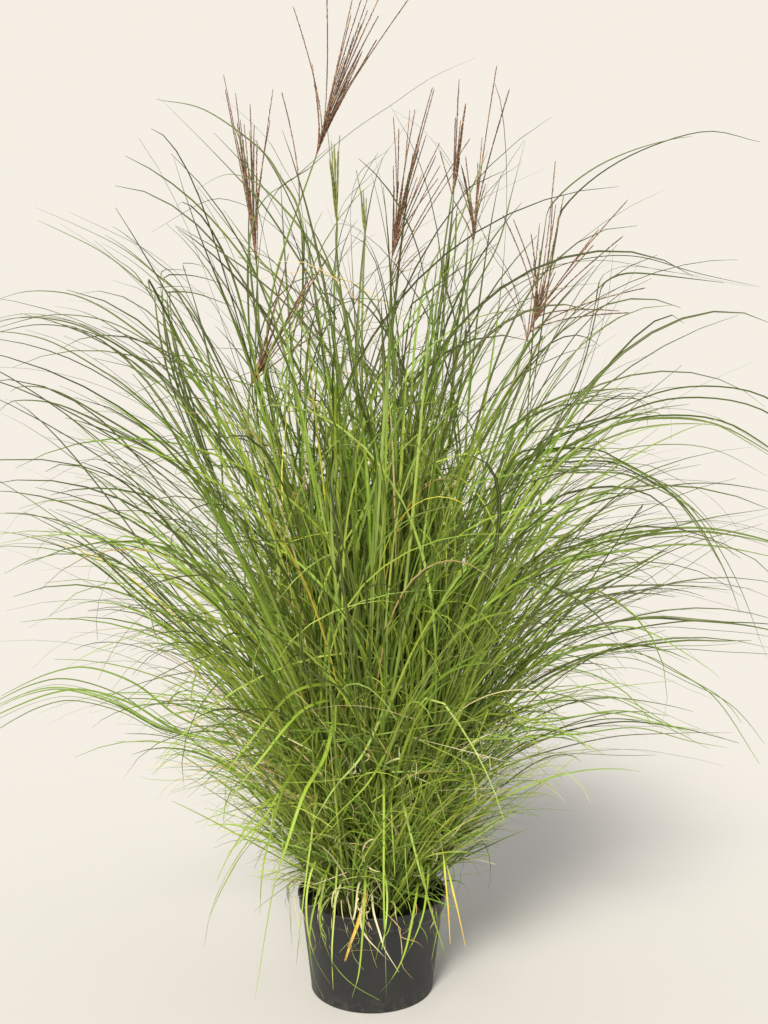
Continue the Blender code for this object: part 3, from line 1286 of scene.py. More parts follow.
    def blade_hue(self) -> float:
        """Return a blade's hue: mostly green, now and then yellow, tan or straw."""
        draw = self.chance.random()
        if draw < 0.025:
            return self.pick((0.70, 0.84))
        if draw < 0.045:
            return self.pick((0.9, 1.0))
        low, high = self.habit.hue
        return low + (high - low) * (0.5 - 0.5 * math.cos(math.pi * self.chance.random()))

    def grow(self) -> tuple[Guides, Guides]:
        """Grow the whole shoot.

        Returns:
            Guides of its blades and guides of its stalks.
        """
        blades, stalks = Guides(), Guides()
        for _ in range(self.habit.tillers):
            line, heading = self.stalk()
            count = len(line)
            taper = np.linspace(*self.stalk_half_width, count)
            stalks.add(line, taper, facing_across(heading, np.zeros(count)), np.full(count, 0.4))
            plane = self.azimuth + self.chance.uniform(-self.habit.plane, self.habit.plane)
            for number in range(self.habit.leaves):
                share = (number + self.chance.random()) / self.habit.leaves
                side = plane + 180.0 * (number % 2) + self.chance.gauss(0, 16)
                at = share * (count - 1)
                low = min(int(at), count - 2)
                root = line[low] + (line[low + 1] - line[low]) * (at - low)
                grown = self.blade(root, heading[low], side)
                if grown is None:
                    continue
                points, directions = grown
                start, turn = self.chance.uniform(-60, 60), self.chance.uniform(-110, 110)
                twist = np.radians(start + turn * np.linspace(0.0, 1.0, len(points)))
                hue = self.blade_hue()
                half = self.pick(self.habit.half_width)
                half = half * (self.broad_by if self.chance.random() < self.broad_share else 1.0)
                half = half * (self.dry_narrower if hue > DRY_HUE else 1.0)
                blades.add(
                    points,
                    self.widths(len(points), half),
                    facing_across(directions, twist),
                    self.hue_along(points, hue),
                )
        return blades, stalks


def join(pieces: list[bpy.types.Object], name: str) -> bpy.types.Object:
    """Join finished pieces into one.

    Args:
        pieces: The pieces to join.
        name: The joined piece's name.

    Returns:
        The joined piece.
    """
    for item in bpy.context.selected_objects:
        item.select_set(False)
    for piece in pieces:
        piece.select_set(True)
    bpy.context.view_layer.objects.active = pieces[0]
    bpy.ops.object.join()
    pieces[0].name = name
    return pieces[0]


def sharpen(piece: bpy.types.Object, degrees: float) -> None:
    """Shade a piece smooth apart from edges sharper than an angle."""
    piece.data.shade_smooth()
    piece.data.set_sharp_from_angle(angle=math.radians(degrees))


def seat(piece: bpy.types.Object, slot: str, *nodes: str) -> None:
    """Put a finished piece on the body, in place of its solids.

    Args:
        piece: The finished piece.
        slot: Not used.
        nodes: The solids that it stands for.
    """
    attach(piece, ROOT)
    if nodes:
        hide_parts(*nodes)
    LOG.info("%s: %d faces", piece.name, len(piece.data.polygons))


@dataclass
class Finishes:
    """Every finished material, made once."""

    effects: Effects

    def __post_init__(self) -> None:
        """Make the materials."""
        self.leaf = LeafFinish().make(self.effects)
        self.stalk = StalkFinish().make(self.effects)
        self.ripe = RacemeFinish("ripe_raceme", "3A2820", "7C583E", "B8966E").make(self.effects)
        self.young = RacemeFinish("young_raceme", "55602A", "7F8836", "A8A45A").make(self.effects)
        self.pot = PotFinish().make(self.effects)
        self.soil = SoilFinish().make(self.effects)


@dataclass
class Foliage:
    """All leafy shoots of the clump."""

    frame: dict
    sweeps: Sweeps
    finishes: Finishes
    bounds: Bounds

    def build(self) -> None:
        """Build every shoot's piece in the order of its node's name."""
        names = sorted(self.frame["nodes"])
        for order, ring in enumerate(Ring):
            for number, name in enumerate(n for n in names if n.startswith(ring.value)):
                seed = 100 * order + number
                self.dress(name, Shoot(self.frame["nodes"][name], ring, seed, self.bounds))

    def dress(self, name: str, shoot: Shoot) -> None:
        """Grow one shoot and make its piece.

        Args:
            name: The node's name.
            shoot: The shoot to grow.
        """
        blades, stalks = shoot.grow()
        leaf_piece = self.sweeps.apply(
            self.sweeps.trees[Section.BLADE],
            f"blades_{name}",
            blades.mesh(name + "_blades"),
            {
                "Fold": shoot.fold,
                "Thickness": shoot.thickness,
                "Rows": float(len(blades.lines)),
                "Finish": self.finishes.leaf,
            },
        )
        stalk_piece = self.sweeps.apply(
            self.sweeps.trees[Section.ROUND],
            f"stalks_{name}",
            stalks.mesh(name + "_stalks"),
            {"Rows": float(len(stalks.lines)), "Finish": self.finishes.stalk},
        )
        piece = join([leaf_piece, stalk_piece], f"leafy_{name}")
        sharpen(piece, 60.0)
        seat(piece, "leaf", name)


def through(knots: np.ndarray, steps: int) -> np.ndarray:
    """Return a smooth line through knots, evenly stepped.

    Args:
        knots: Points that the line passes.
        steps: Number of steps.

    Returns:
        The line's points.
    """
    ends = np.concatenate([2 * knots[:1] - knots[1:2], knots, 2 * knots[-1:] - knots[-2:-1]])
    fine = []
    share = np.linspace(0.0, 1.0, 12, endpoint=False)[:, None]
    for before, first, second, after in zip(ends, ends[1:], ends[2:], ends[3:]):
        one = (second - before) * share
        two = (2 * before - 5 * first + 4 * second - after) * share**2
        three = (-before + 3 * first - 3 * second + after) * share**3
        fine.append(first + 0.5 * (one + two + three))
    line = np.concatenate([*fine, knots[-1:]])
    reach = np.concatenate([[0.0], np.cumsum(np.linalg.norm(np.diff(line, axis=0), axis=1))])
    even = np.linspace(0.0, reach[-1], steps + 1)
    return np.stack([np.interp(even, reach, line[:, axis]) for axis in range(3)], axis=1)


@dataclass(frozen=True)
class Feature:
    """A blade that stands out, through points seen from the front.

    Each point is sideways and up in metres, as it appears beside the pot's axis. Depth is how far away
    from the axis its first and last points lie, and bulge brings its middle nearer or further.
    """

    points: tuple[tuple[float, float], ...]
    depth: tuple[float, float]
    half_width: float = 0.0018
    # The deep default hue paints the shade on high and outer blades that are seen backlit against the bright
    # air.
    hue: float = 0.10
    tip_hue: float | None = None
    twist: float = 20.0
    bulge: float = 0.0


# High blades keep deep hues: painted shade, because they are seen backlit against the bright air.
HIGH_FEATURES = (
    Feature(((-0.118, 1.10), (-0.120, 1.285), (-0.155, 1.36), (-0.192, 1.41), (-0.283, 1.474),
        (-0.365, 1.492)), (0.0, 0.05)),
    Feature(((-0.06, 1.12), (-0.175, 1.30), (-0.225, 1.357), (-0.29, 1.425), (-0.36, 1.495)), (0.03, 0.06),
        0.0019),
    Feature(((-0.055, 0.98), (-0.16, 1.18), (-0.21, 1.235), (-0.296, 1.346)), (-0.02, 0.02), 0.0020, 0.2),
    Feature(((-0.15, 0.90), (-0.195, 1.12), (-0.216, 1.175), (-0.247, 1.255), (-0.30, 1.345)), (0.02, 0.0),
        0.0023),
    Feature(((-0.02, 0.95), (-0.055, 1.135), (-0.115, 1.225), (-0.185, 1.293), (-0.233, 1.319),
        (-0.282, 1.319), (-0.375, 1.266)), (-0.06, 0.02), 0.0024, 0.14),
    Feature(((-0.03, 1.0), (-0.06, 1.275), (0.0, 1.366), (0.037, 1.42), (0.080, 1.476)), (0.06, 0.12),
        0.0018, 0.1),
    Feature(((-0.20, 0.96), (-0.182, 1.29), (-0.10, 1.38), (-0.03, 1.44), (0.034, 1.483), (0.10, 1.528),
        (0.174, 1.562)), (-0.02, 0.08), 0.0018),
    Feature(((0.27, 1.05), (0.245, 1.165), (0.203, 1.23), (0.167, 1.315), (0.133, 1.376), (0.090, 1.436),
        (0.035, 1.475)), (0.05, 0.0), 0.0018, 0.08),
    Feature(((0.10, 0.95), (0.125, 1.17), (0.138, 1.285), (0.19, 1.326), (0.289, 1.374)), (-0.03, 0.02),
        0.0020),
    Feature(((0.26, 0.92), (0.308, 1.245), (0.329, 1.315), (0.423, 1.39), (0.557, 1.437), (0.655, 1.42)),
        (0.0, -0.12), 0.0014, 0.08),
    Feature(((0.29, 0.90), (0.348, 1.03), (0.376, 1.14), (0.385, 1.186), (0.408, 1.205), (0.46, 1.208),
        (0.64, 1.175)), (0.0, 0.02), 0.0016, 0.10),
    Feature(((0.26, 0.80), (0.35, 1.00), (0.379, 1.08), (0.397, 1.147), (0.405, 1.21), (0.407, 1.24)),
        (-0.03, 0.0), 0.0018, 0.12),
    Feature(((0.12, 1.00), (0.216, 1.153), (0.305, 1.205), (0.378, 1.225), (0.454, 1.225), (0.55, 1.198),
        (0.655, 1.175)), (0.04, 0.0), 0.0020, 0.12),
    Feature(((0.06, 0.92), (0.15, 1.13), (0.21, 1.24), (0.235, 1.33), (0.258, 1.42)), (0.02, 0.1), 0.0018),
    Feature(((0.13, 0.9), (0.14, 1.10), (0.12, 1.20), (0.135, 1.33)), (-0.03, -0.02), 0.0034, 0.08),
    Feature(((0.09, 0.9), (0.11, 1.10), (0.13, 1.25), (0.14, 1.36)), (-0.02, -0.01), 0.0028, 0.06),
)

SIDE_FEATURES = (
    Feature(((0.18, 0.45), (0.28, 0.54), (0.364, 0.582), (0.48, 0.60), (0.562, 0.596), (0.668, 0.585),
        (0.77, 0.555)), (-0.02, -0.08)),
    Feature(((0.15, 0.48), (0.28, 0.67), (0.40, 0.733), (0.55, 0.78), (0.665, 0.80)), (-0.08, -0.14)),
    Feature(((0.16, 0.34), (0.29, 0.41), (0.41, 0.44), (0.52, 0.43), (0.62, 0.405)), (0.02, -0.04), 0.0015),
    Feature(((-0.17, 0.85), (-0.297, 1.125), (-0.355, 1.187), (-0.422, 1.24), (-0.497, 1.278),
        (-0.57, 1.31)), (0.1, 0.16), 0.0017),
    Feature(((-0.17, 0.80), (-0.331, 1.0), (-0.397, 1.058), (-0.48, 1.108), (-0.562, 1.125),
        (-0.625, 1.117), (-0.71, 1.09), (-0.77, 1.05)), (0.0, -0.03), 0.0018),
    Feature(((-0.13, 0.70), (-0.273, 0.827), (-0.355, 0.888), (-0.438, 0.934), (-0.529, 0.976),
        (-0.603, 0.983), (-0.63, 0.965)), (-0.05, -0.1), 0.0021),
    Feature(((-0.20, 0.50), (-0.355, 0.653), (-0.438, 0.736), (-0.521, 0.777), (-0.58, 0.79),
        (-0.625, 0.793)), (-0.06, -0.12), 0.0017),
    Feature(((-0.22, 0.40), (-0.34, 0.42), (-0.422, 0.462), (-0.504, 0.483), (-0.562, 0.475),
        (-0.63, 0.446), (-0.72, 0.395), (-0.78, 0.35)), (-0.05, -0.1), 0.0014, 0.3),
    Feature(((-0.25, 0.80), (-0.31, 0.98), (-0.335, 1.08), (-0.346, 1.157), (-0.338, 1.166),
        (-0.297, 1.164), (-0.23, 1.14)), (0.0, 0.04), 0.0018),
    Feature(((0.14, 0.60), (0.24, 0.86), (0.343, 0.91), (0.438, 0.95), (0.525, 0.958), (0.60, 0.945),
        (0.668, 0.905), (0.74, 0.85), (0.79, 0.78)), (-0.05, -0.12), 0.0020, 0.2),
    Feature(((0.16, 0.62), (0.25, 0.86), (0.331, 0.885), (0.40, 0.885), (0.44, 0.868), (0.53, 0.81),
        (0.61, 0.69), (0.666, 0.55)), (0.0, -0.14), 0.0020, 0.2),
    Feature(((0.20, 0.80), (0.27, 0.93), (0.347, 0.976), (0.405, 0.988), (0.48, 0.988), (0.503, 0.963),
        (0.505, 0.918)), (0.02, 0.04), 0.0020, 0.2),
    Feature(((0.12, 0.50), (0.24, 0.69), (0.364, 0.743), (0.497, 0.766), (0.58, 0.766), (0.668, 0.747),
        (0.74, 0.722), (0.80, 0.69)), (0.0, -0.05), 0.0021, 0.22),
    Feature(((0.15, 0.42), (0.30, 0.60), (0.42, 0.68), (0.52, 0.735), (0.66, 0.775)), (0.05, 0.0), 0.0017,
        0.2),
    Feature(((0.15, 0.38), (0.25, 0.53), (0.32, 0.562), (0.414, 0.57), (0.505, 0.528), (0.58, 0.48),
        (0.654, 0.37)), (-0.06, -0.15), 0.0017, 0.4),
    Feature(((0.14, 0.34), (0.24, 0.45), (0.331, 0.47), (0.43, 0.479), (0.53, 0.438), (0.613, 0.405)),
        (-0.05, -0.12), 0.0015, 0.4),
)

FRONT_FEATURES = (
    Feature(((0.02, 0.30), (-0.015, 0.48), (-0.05, 0.50), (-0.078, 0.388), (-0.115, 0.32), (-0.144, 0.232),
        (-0.168, 0.15), (-0.198, -0.03)), (0.02, -0.32), 0.0028, 0.48),
    Feature(((0.05, 0.30), (0.085, 0.48), (0.04, 0.494), (-0.015, 0.387), (-0.063, 0.33), (-0.10, 0.27)),
        (0.02, -0.24), 0.0026, 0.48),
    Feature(((0.03, 0.36), (0.01, 0.48), (-0.04, 0.48), (-0.115, 0.462), (-0.19, 0.375), (-0.24, 0.31),
        (-0.272, 0.26)), (0.02, -0.28), 0.0026, 0.48),
    Feature(((-0.02, 0.26), (-0.09, 0.37), (-0.144, 0.298), (-0.213, 0.225), (-0.25, 0.165),
        (-0.275, 0.11)), (0.0, -0.24), 0.0024, 0.50),
    Feature(((0.0, 0.30), (0.045, 0.46), (0.078, 0.368), (0.101, 0.305), (0.118, 0.226), (0.127, 0.143),
        (0.132, 0.065)), (0.02, -0.24), 0.0026, 0.48, 0.84),
    Feature(((-0.02, 0.28), (0.015, 0.47), (0.04, 0.356), (0.061, 0.266), (0.084, 0.175), (0.107, 0.10),
        (0.127, 0.04)), (0.02, -0.24), 0.0024, 0.48),
    Feature(((-0.01, 0.30), (0.017, 0.45), (0.020, 0.307), (0.020, 0.143), (0.024, -0.024)), (0.02, -0.24),
        0.0022, 0.48),
    Feature(((-0.08, 0.22), (-0.12, 0.30), (-0.17, 0.285), (-0.235, 0.20), (-0.27, 0.126), (-0.284, 0.06)),
        (-0.02, -0.2), 0.0018, 0.5),
    Feature(((-0.04, 0.22), (-0.085, 0.33), (-0.105, 0.224), (-0.121, 0.097), (-0.128, 0.03)),
        (-0.02, -0.21), 0.0020, 0.48),
    Feature(((-0.03, 0.18), (-0.055, 0.22), (-0.064, 0.116), (-0.068, 0.052), (-0.066, -0.012)),
        (-0.05, -0.18), 0.0014, 0.6),
    Feature(((0.0, 0.18), (-0.01, 0.20), (-0.014, 0.12), (-0.022, 0.02), (-0.034, -0.025)), (-0.05, -0.18),
        0.0018, 0.48),
    Feature(((-0.04, 0.18), (-0.07, 0.20), (-0.089, 0.111), (-0.071, 0.043), (-0.037, 0.0), (0.013, -0.03)),
        (-0.05, -0.2), 0.0013, 0.48),
    Feature(((0.05, 0.18), (0.075, 0.22), (0.095, 0.136), (0.12, 0.057), (0.128, 0.036)), (-0.05, -0.2),
        0.0016, 0.48),
    Feature(((0.08, 0.18), (0.095, 0.20), (0.088, 0.124), (0.069, 0.069), (0.042, 0.024)), (-0.05, -0.2),
        0.0016, 0.48),
    Feature(((0.0, 0.18), (-0.045, 0.18), (-0.066, 0.127), (-0.066, 0.149), (-0.05, 0.160), (0.016, 0.141)),
        (-0.06, -0.15), 0.0013, 1.0),
    Feature(((0.0, 0.20), (0.0, 0.15), (0.003, 0.118), (0.013, 0.083), (0.022, 0.055), (0.045, 0.018)),
        (-0.06, -0.18), 0.0014, 1.0),
    Feature(((0.0, 0.20), (-0.014, 0.155), (-0.02, 0.118), (-0.041, 0.052), (-0.046, 0.036),
        (-0.036, 0.053), (0.013, 0.055)), (-0.06, -0.17), 0.0018, 0.84, 0.99),
    Feature(((0.02, 0.30), (0.07, 0.34), (0.101, 0.325), (0.16, 0.327), (0.216, 0.329)), (-0.06, -0.16),
        0.0013, 0.99),
    Feature(((0.08, 0.20), (0.12, 0.24), (0.158, 0.27), (0.19, 0.30), (0.216, 0.329)), (-0.06, -0.16),
        0.0015, 0.99),
    Feature(((-0.02, 0.40), (-0.05, 0.485), (-0.02, 0.445), (0.01, 0.412), (0.03, 0.38)), (-0.02, -0.2),
        0.0018, 0.76, 0.86),
    Feature(((-0.05, 0.44), (-0.10, 0.49), (-0.125, 0.487), (-0.16, 0.505)), (-0.02, -0.2), 0.0022, 0.84,
        0.78),
)


@dataclass
class FeatureBlades:
    """Blades that stand out from the rest, laid through listed points."""

    name: str
    features: tuple[Feature, ...]
    sweeps: Sweeps
    finish: bpy.types.Material
    eye: tuple[float, float, float]
    copies: int = 1
    stray: float = 0.022
    steps: int = 38
    floor_room: float = 0.006
    tip_half_width: float = 0.0003

    def line(self, feature: Feature) -> np.ndarray:
        """Work out where a feature runs.

        Args:
            feature: The blade.

        Returns:
            The points of its middle line.
        """
        count = len(feature.points)
        share = np.linspace(0.0, 1.0, count)
        depth = feature.depth[0] + (feature.depth[1] - feature.depth[0]) * np.minimum(1.0, share * 1.6)
        depth = depth + feature.bulge * np.sin(math.pi * share)
        side, up = np.array(feature.points).T
        scale = (depth - self.eye[1]) / -self.eye[1]
        x = self.eye[0] + (side - self.eye[0]) * scale
        z = self.eye[2] + (up - self.eye[2]) * scale
        line = through(np.stack([x, depth, z], axis=1), self.steps)
        line[:, 2] = np.maximum(line[:, 2], self.floor_room)
        return line

    def build(self) -> None:
        """Build the blades as one piece."""
        chance = random.Random(self.name)
        guides = Guides()
        for feature in [feature for feature in self.features for _ in range(self.copies)]:
            line = self.line(feature)
            share = np.linspace(0.0, 1.0, len(line))
            if guides.lines and len(guides.lines) % self.copies:
                off = np.array([chance.gauss(0, self.stray) for _ in range(6)])
                line = line + np.outer(share**0.7, off[:3]) + np.outer(np.sin(math.pi * share), off[3:])
                cut = chance.uniform(0.66, 1.0) * (len(line) - 1)
                places = np.linspace(0.0, cut, len(line))
                spots = range(len(line))
                line = np.stack([np.interp(places, spots, line[:, axis]) for axis in range(3)], axis=1)
                line[:, 2] = np.maximum(line[:, 2], self.floor_room)
            taper = np.minimum(1.0, 0.5 + 2.0 * share) * (1.0 - share**2.8) ** 0.9
            width = feature.half_width * taper + self.tip_half_width
            twist = np.radians(feature.twist + chance.uniform(-50, 50) + chance.uniform(-70, 70) * share)
            end = feature.hue if feature.tip_hue is None else feature.tip_hue
            hue = feature.hue + (end - feature.hue) * smooth_step(0.6, 1.0, share)
            guides.add(line, width, facing_across(headings(line), twist), hue)
        piece = self.sweeps.apply(
            self.sweeps.trees[Section.BLADE],
            self.name,
            guides.mesh(self.name),
            {"Fold": -0.3, "Thickness": 0.055, "Rows": float(len(guides.lines)), "Finish": self.finish},
        )
        sharpen(piece, 60.0)
        seat(piece, "leaf")


@dataclass
class Undergrowth:
    """Fine tangled blades around the crown, and dry curled ones among them."""

    sweeps: Sweeps
    finish: bpy.types.Material
    bounds: Bounds
    blades: int = 1300
    curls: int = 50
    strands: int = 64
    seed: int = 63

    def fine_blade(self, chance: random.Random, guides: Guides) -> None:
        """Add one fine blade.

        Args:
            chance: The source of random numbers.
            guides: Where the blade is added.
        """
        for _ in range(8):
            turn = chance.uniform(0.0, 2.0 * math.pi)
            height = chance.random() ** 1.6
            reach = chance.uniform(0.05, 0.105) + 0.12 * height
            side = math.degrees(turn) + chance.choice((-1, 1)) * chance.uniform(0, 110)
            arch = Arch(
                foot=(reach * math.cos(turn), reach * math.sin(turn), 0.17 + 0.32 * height),
                azimuth=side,
                end_azimuth=side + chance.gauss(0, 30),
                length=chance.uniform(0.08, 0.34),
                lean_start=chance.uniform(10, 120),
                lean_end=chance.uniform(40, 165),
                bend_power=chance.uniform(0.9, 3.4),
                sway=chance.gauss(0, 16),
                sway_phase=chance.random(),
                steps=11,
            )
            line, heading = arch.line()
            if self.bounds.allow(line):
                break
        else:
            return
        share = np.linspace(0.0, 1.0, len(line))
        width = chance.uniform(0.0006, 0.0013) * (1.0 - share**2) + 0.0002
        draw = chance.random()
        hue = chance.uniform(0.9, 1.0) if draw < 0.14 else chance.uniform(0.2, 0.64)
        twist = np.radians(chance.uniform(-80, 80) + chance.uniform(-120, 120) * share)
        guides.add(line, width, facing_across(heading, twist), np.full(len(line), hue))

    def curl(self, chance: random.Random, guides: Guides) -> None:
        """Add one dry blade that coils up towards its tip.

        Args:
            chance: The source of random numbers.
            guides: Where the blade is added.
        """
        turn = chance.uniform(math.pi * 1.05, math.pi * 1.95)
        height = chance.uniform(0.0, 1.0)
        reach = 0.115 + 0.10 * height + chance.gauss(0, 0.012)
        place = np.array([reach * math.cos(turn), reach * math.sin(turn), 0.185 + 0.28 * height])
        share = np.linspace(0.0, 1.0, 29)
        tight = chance.uniform(0.007, 0.020) * (1.0 - 0.5 * share)
        angle = chance.uniform(0.0, 6.3) + chance.choice((-1, 1)) * chance.uniform(2.5, 11.0) * share
        drift = np.array([chance.gauss(0, 0.035), chance.gauss(0, 0.01), chance.gauss(0, 0.035)])
        side = np.array([-math.sin(turn), math.cos(turn), 0.0])
        up = np.array([0.2 * math.cos(turn), 0.2 * math.sin(turn), 1.0])
        line = place + np.outer(tight * np.cos(angle), side) + np.outer(tight * np.sin(angle), up)
        line = line + np.outer(share, drift)
        width = chance.uniform(0.0006, 0.0013) * (1.0 - share**3) + 0.0002
        twist = np.radians(chance.uniform(-90, 90) + 160 * share)
        hue = np.full(len(line), chance.uniform(0.95, 1.0))
        guides.add(line, width, facing_across(headings(line), twist), hue)

    def strand(self, chance: random.Random, guides: Guides) -> None:
        """Add one hair-fine wiry strand that hangs over the rim.

        Args:
            chance: The source of random numbers.
            guides: Where the strand is added.
        """
        turn = chance.uniform(0.0, 2.0 * math.pi)
        rim, top = self.bounds.rim_radius, self.bounds.rim_height
        out = rim + chance.uniform(0.011, 0.022)
        drop = chance.uniform(0.02, 0.11)
        knots = [(rim - 0.03, top + 0.005), (rim - 0.004, top + 0.022), (out, top + 0.008)]
        knots += [(out - 0.001 * step, top - drop * step / 4.0) for step in range(1, 5)]
        side = chance.gauss(0, 0.05)
        points = []
        for number, (reach, height) in enumerate(knots):
            angle = turn + side * number + chance.gauss(0, 0.035)
            points.append((reach * math.cos(angle), reach * math.sin(angle), height))
        line = through(np.array(points), 20)
        share = np.linspace(0.0, 1.0, len(line))
        width = chance.uniform(0.0003, 0.0008) * (1.0 - share**3) + 0.00015
        hue = chance.uniform(0.92, 1.0) if chance.random() < 0.45 else chance.uniform(0.42, 0.62)
        twist = np.radians(chance.uniform(-60, 60) + 90 * share)
        guides.add(line, width, facing_across(headings(line), twist), np.full(len(line), hue))

    def build(self) -> None:
        """Build the fine blades, the dry curls and the strands over the rim, one piece each."""
        chance = random.Random(self.seed)
        for name, count, add in (
            ("fine_blades", self.blades, self.fine_blade),
            ("dry_curls", self.curls, self.curl),
            ("rim_strands", self.strands, self.strand),
        ):
            guides = Guides()
            for _ in range(count):
                add(chance, guides)
            piece = self.sweeps.apply(
                self.sweeps.trees[Section.BLADE],
                name,
                guides.mesh(name),
                {"Fold": -0.25, "Thickness": 0.08, "Rows": float(len(guides.lines)), "Finish": self.finish},
            )
            sharpen(piece, 60.0)
            seat(piece, "leaf")


@dataclass(frozen=True)
class HeadPlan:
    """How one flower head is spread.

    Each raceme is its tip, sideways and up from the head's foot in metres, and its start as a share of
    the way up the head's axis. Fill is how many more are strewn between them.
    """

    ripe: bool
    racemes: tuple[tuple[float, float, float], ...]
    fill: int
    axis_share: float = 0.36
    depth: float = 0.25


HEADS = {
    "1": HeadPlan(
        True,
        (
            (-0.062, 0.345, 0.35), (-0.031, 0.283, 0.2), (-0.014, 0.290, 0.5), (-0.034, 0.250, 0.1),
            (-0.026, 0.246, 0.15), (-0.018, 0.235, 0.05), (-0.012, 0.235, 0.1), (-0.002, 0.237, 0.2),
            (0.001, 0.216, 0.1), (-0.033, 0.216, 0.05), (0.030, 0.300, 0.25),
        ),
        9,
    ),
    "2": HeadPlan(
        True,
        (
            (0.018, 0.290, 0.6), (-0.034, 0.232, 0.45), (-0.005, 0.145, 0.3), (0.060, 0.288, 0.5),
            (0.076, 0.238, 0.15), (0.092, 0.254, 0.3), (0.110, 0.278, 0.5), (0.154, 0.258, 0.3),
            (0.102, 0.224, 0.3), (0.084, 0.216, 0.2), (0.053, 0.204, 0.1), (0.074, 0.210, 0.1),
            (0.075, 0.165, 0.15), (0.085, 0.152, 0.25), (0.062, 0.190, 0.05), (-0.056, 0.108, -0.3),
        ),
        9,
    ),
    "3": HeadPlan(
        True,
        (
            (0.060, 0.198, 0.1), (0.080, 0.190, 0.2), (0.118, 0.202, 0.3), (0.095, 0.162, 0.1),
            (0.048, 0.165, 0.0), (0.105, 0.135, 0.15), (0.072, 0.150, 0.25), (0.126, 0.098, 0.1),
        ),
        5,
    ),
    "4": HeadPlan(
        False,
        (
            (-0.018, 0.176, 0.0), (-0.012, 0.158, 0.1), (-0.006, 0.150, 0.0), (0.000, 0.140, 0.1),
            (-0.015, 0.120, 0.0), (0.004, 0.165, 0.2),
        ),
        12,
    ),
    "5": HeadPlan(
        False,
        (
            (-0.014, 0.106, 0.0), (-0.008, 0.075, 0.1), (-0.003, 0.070, 0.0), (0.002, 0.055, 0.1),
        ),
        7,
    ),
    "6": HeadPlan(
        True,
        (
            (0.004, 0.262, 0.3), (0.014, 0.250, 0.2), (0.034, 0.284, 0.3), (0.042, 0.268, 0.2),
            (0.078, 0.322, 0.3), (0.074, 0.318, 0.5), (0.056, 0.250, 0.1), (0.062, 0.228, 0.2),
            (0.048, 0.215, 0.05), (0.028, 0.212, 0.1), (0.086, 0.212, 0.1), (0.090, 0.190, -0.1),
            (0.108, 0.150, -0.15), (0.140, 0.218, -0.1), (0.060, 0.020, -0.15), (0.004, 0.180, 0.3),
        ),
        10,
    ),
    "7": HeadPlan(
        True,
        (
            (0.040, 0.305, 0.2), (0.061, 0.262, 0.3), (0.058, 0.252, 0.3), (0.022, 0.105, 0.1),
            (-0.012, 0.155, 0.3), (-0.020, 0.135, 0.15), (-0.026, 0.112, 0.2), (-0.034, 0.075, 0.05),
        ),
        4,
    ),
    "8": HeadPlan(
        True,
        (
            (-0.037, 0.196, 0.3), (-0.020, 0.194, 0.4), (0.003, 0.160, 0.3), (0.040, 0.272, 0.2),
            (0.060, 0.232, 0.3), (0.044, 0.226, 0.5), (0.054, 0.230, 0.2), (0.156, 0.218, 0.3),
            (0.148, 0.160, 0.2), (0.106, 0.152, 0.3), (0.100, 0.158, 0.2), (0.068, 0.092, 0.2),
            (0.150, 0.034, 0.1), (0.200, 0.094, 0.1), (0.022, 0.188, 0.0), (-0.028, 0.110, 0.0),
            (0.020, 0.140, 0.1),
        ),
        3,
        0.5,
    ),
    "9": HeadPlan(
        True,
        (
            (0.011, 0.188, 0.2), (0.023, 0.152, 0.3), (0.022, 0.150, 0.1), (0.006, 0.130, 0.2),
            (0.012, 0.060, 0.0), (-0.020, 0.070, 0.0),
        ),
        4,
    ),
}


def bend(start: np.ndarray, middle: np.ndarray, end: np.ndarray, steps: int) -> np.ndarray:
    """Return points on a quadratic curve.

    Args:
        start: Where it starts.
        middle: The point that pulls it.
        end: Where it ends.
        steps: Number of steps.

    Returns:
        The curve's points.
    """
    share = np.linspace(0.0, 1.0, steps + 1)[:, None]
    return start * (1 - share) ** 2 + middle * 2 * share * (1 - share) + end * share**2


def headings(line: np.ndarray) -> np.ndarray:
    """Return the unit direction at each point of a line."""
    steps = np.gradient(line, axis=0)
    return steps / np.maximum(np.linalg.norm(steps, axis=1, keepdims=True), 1e-9)


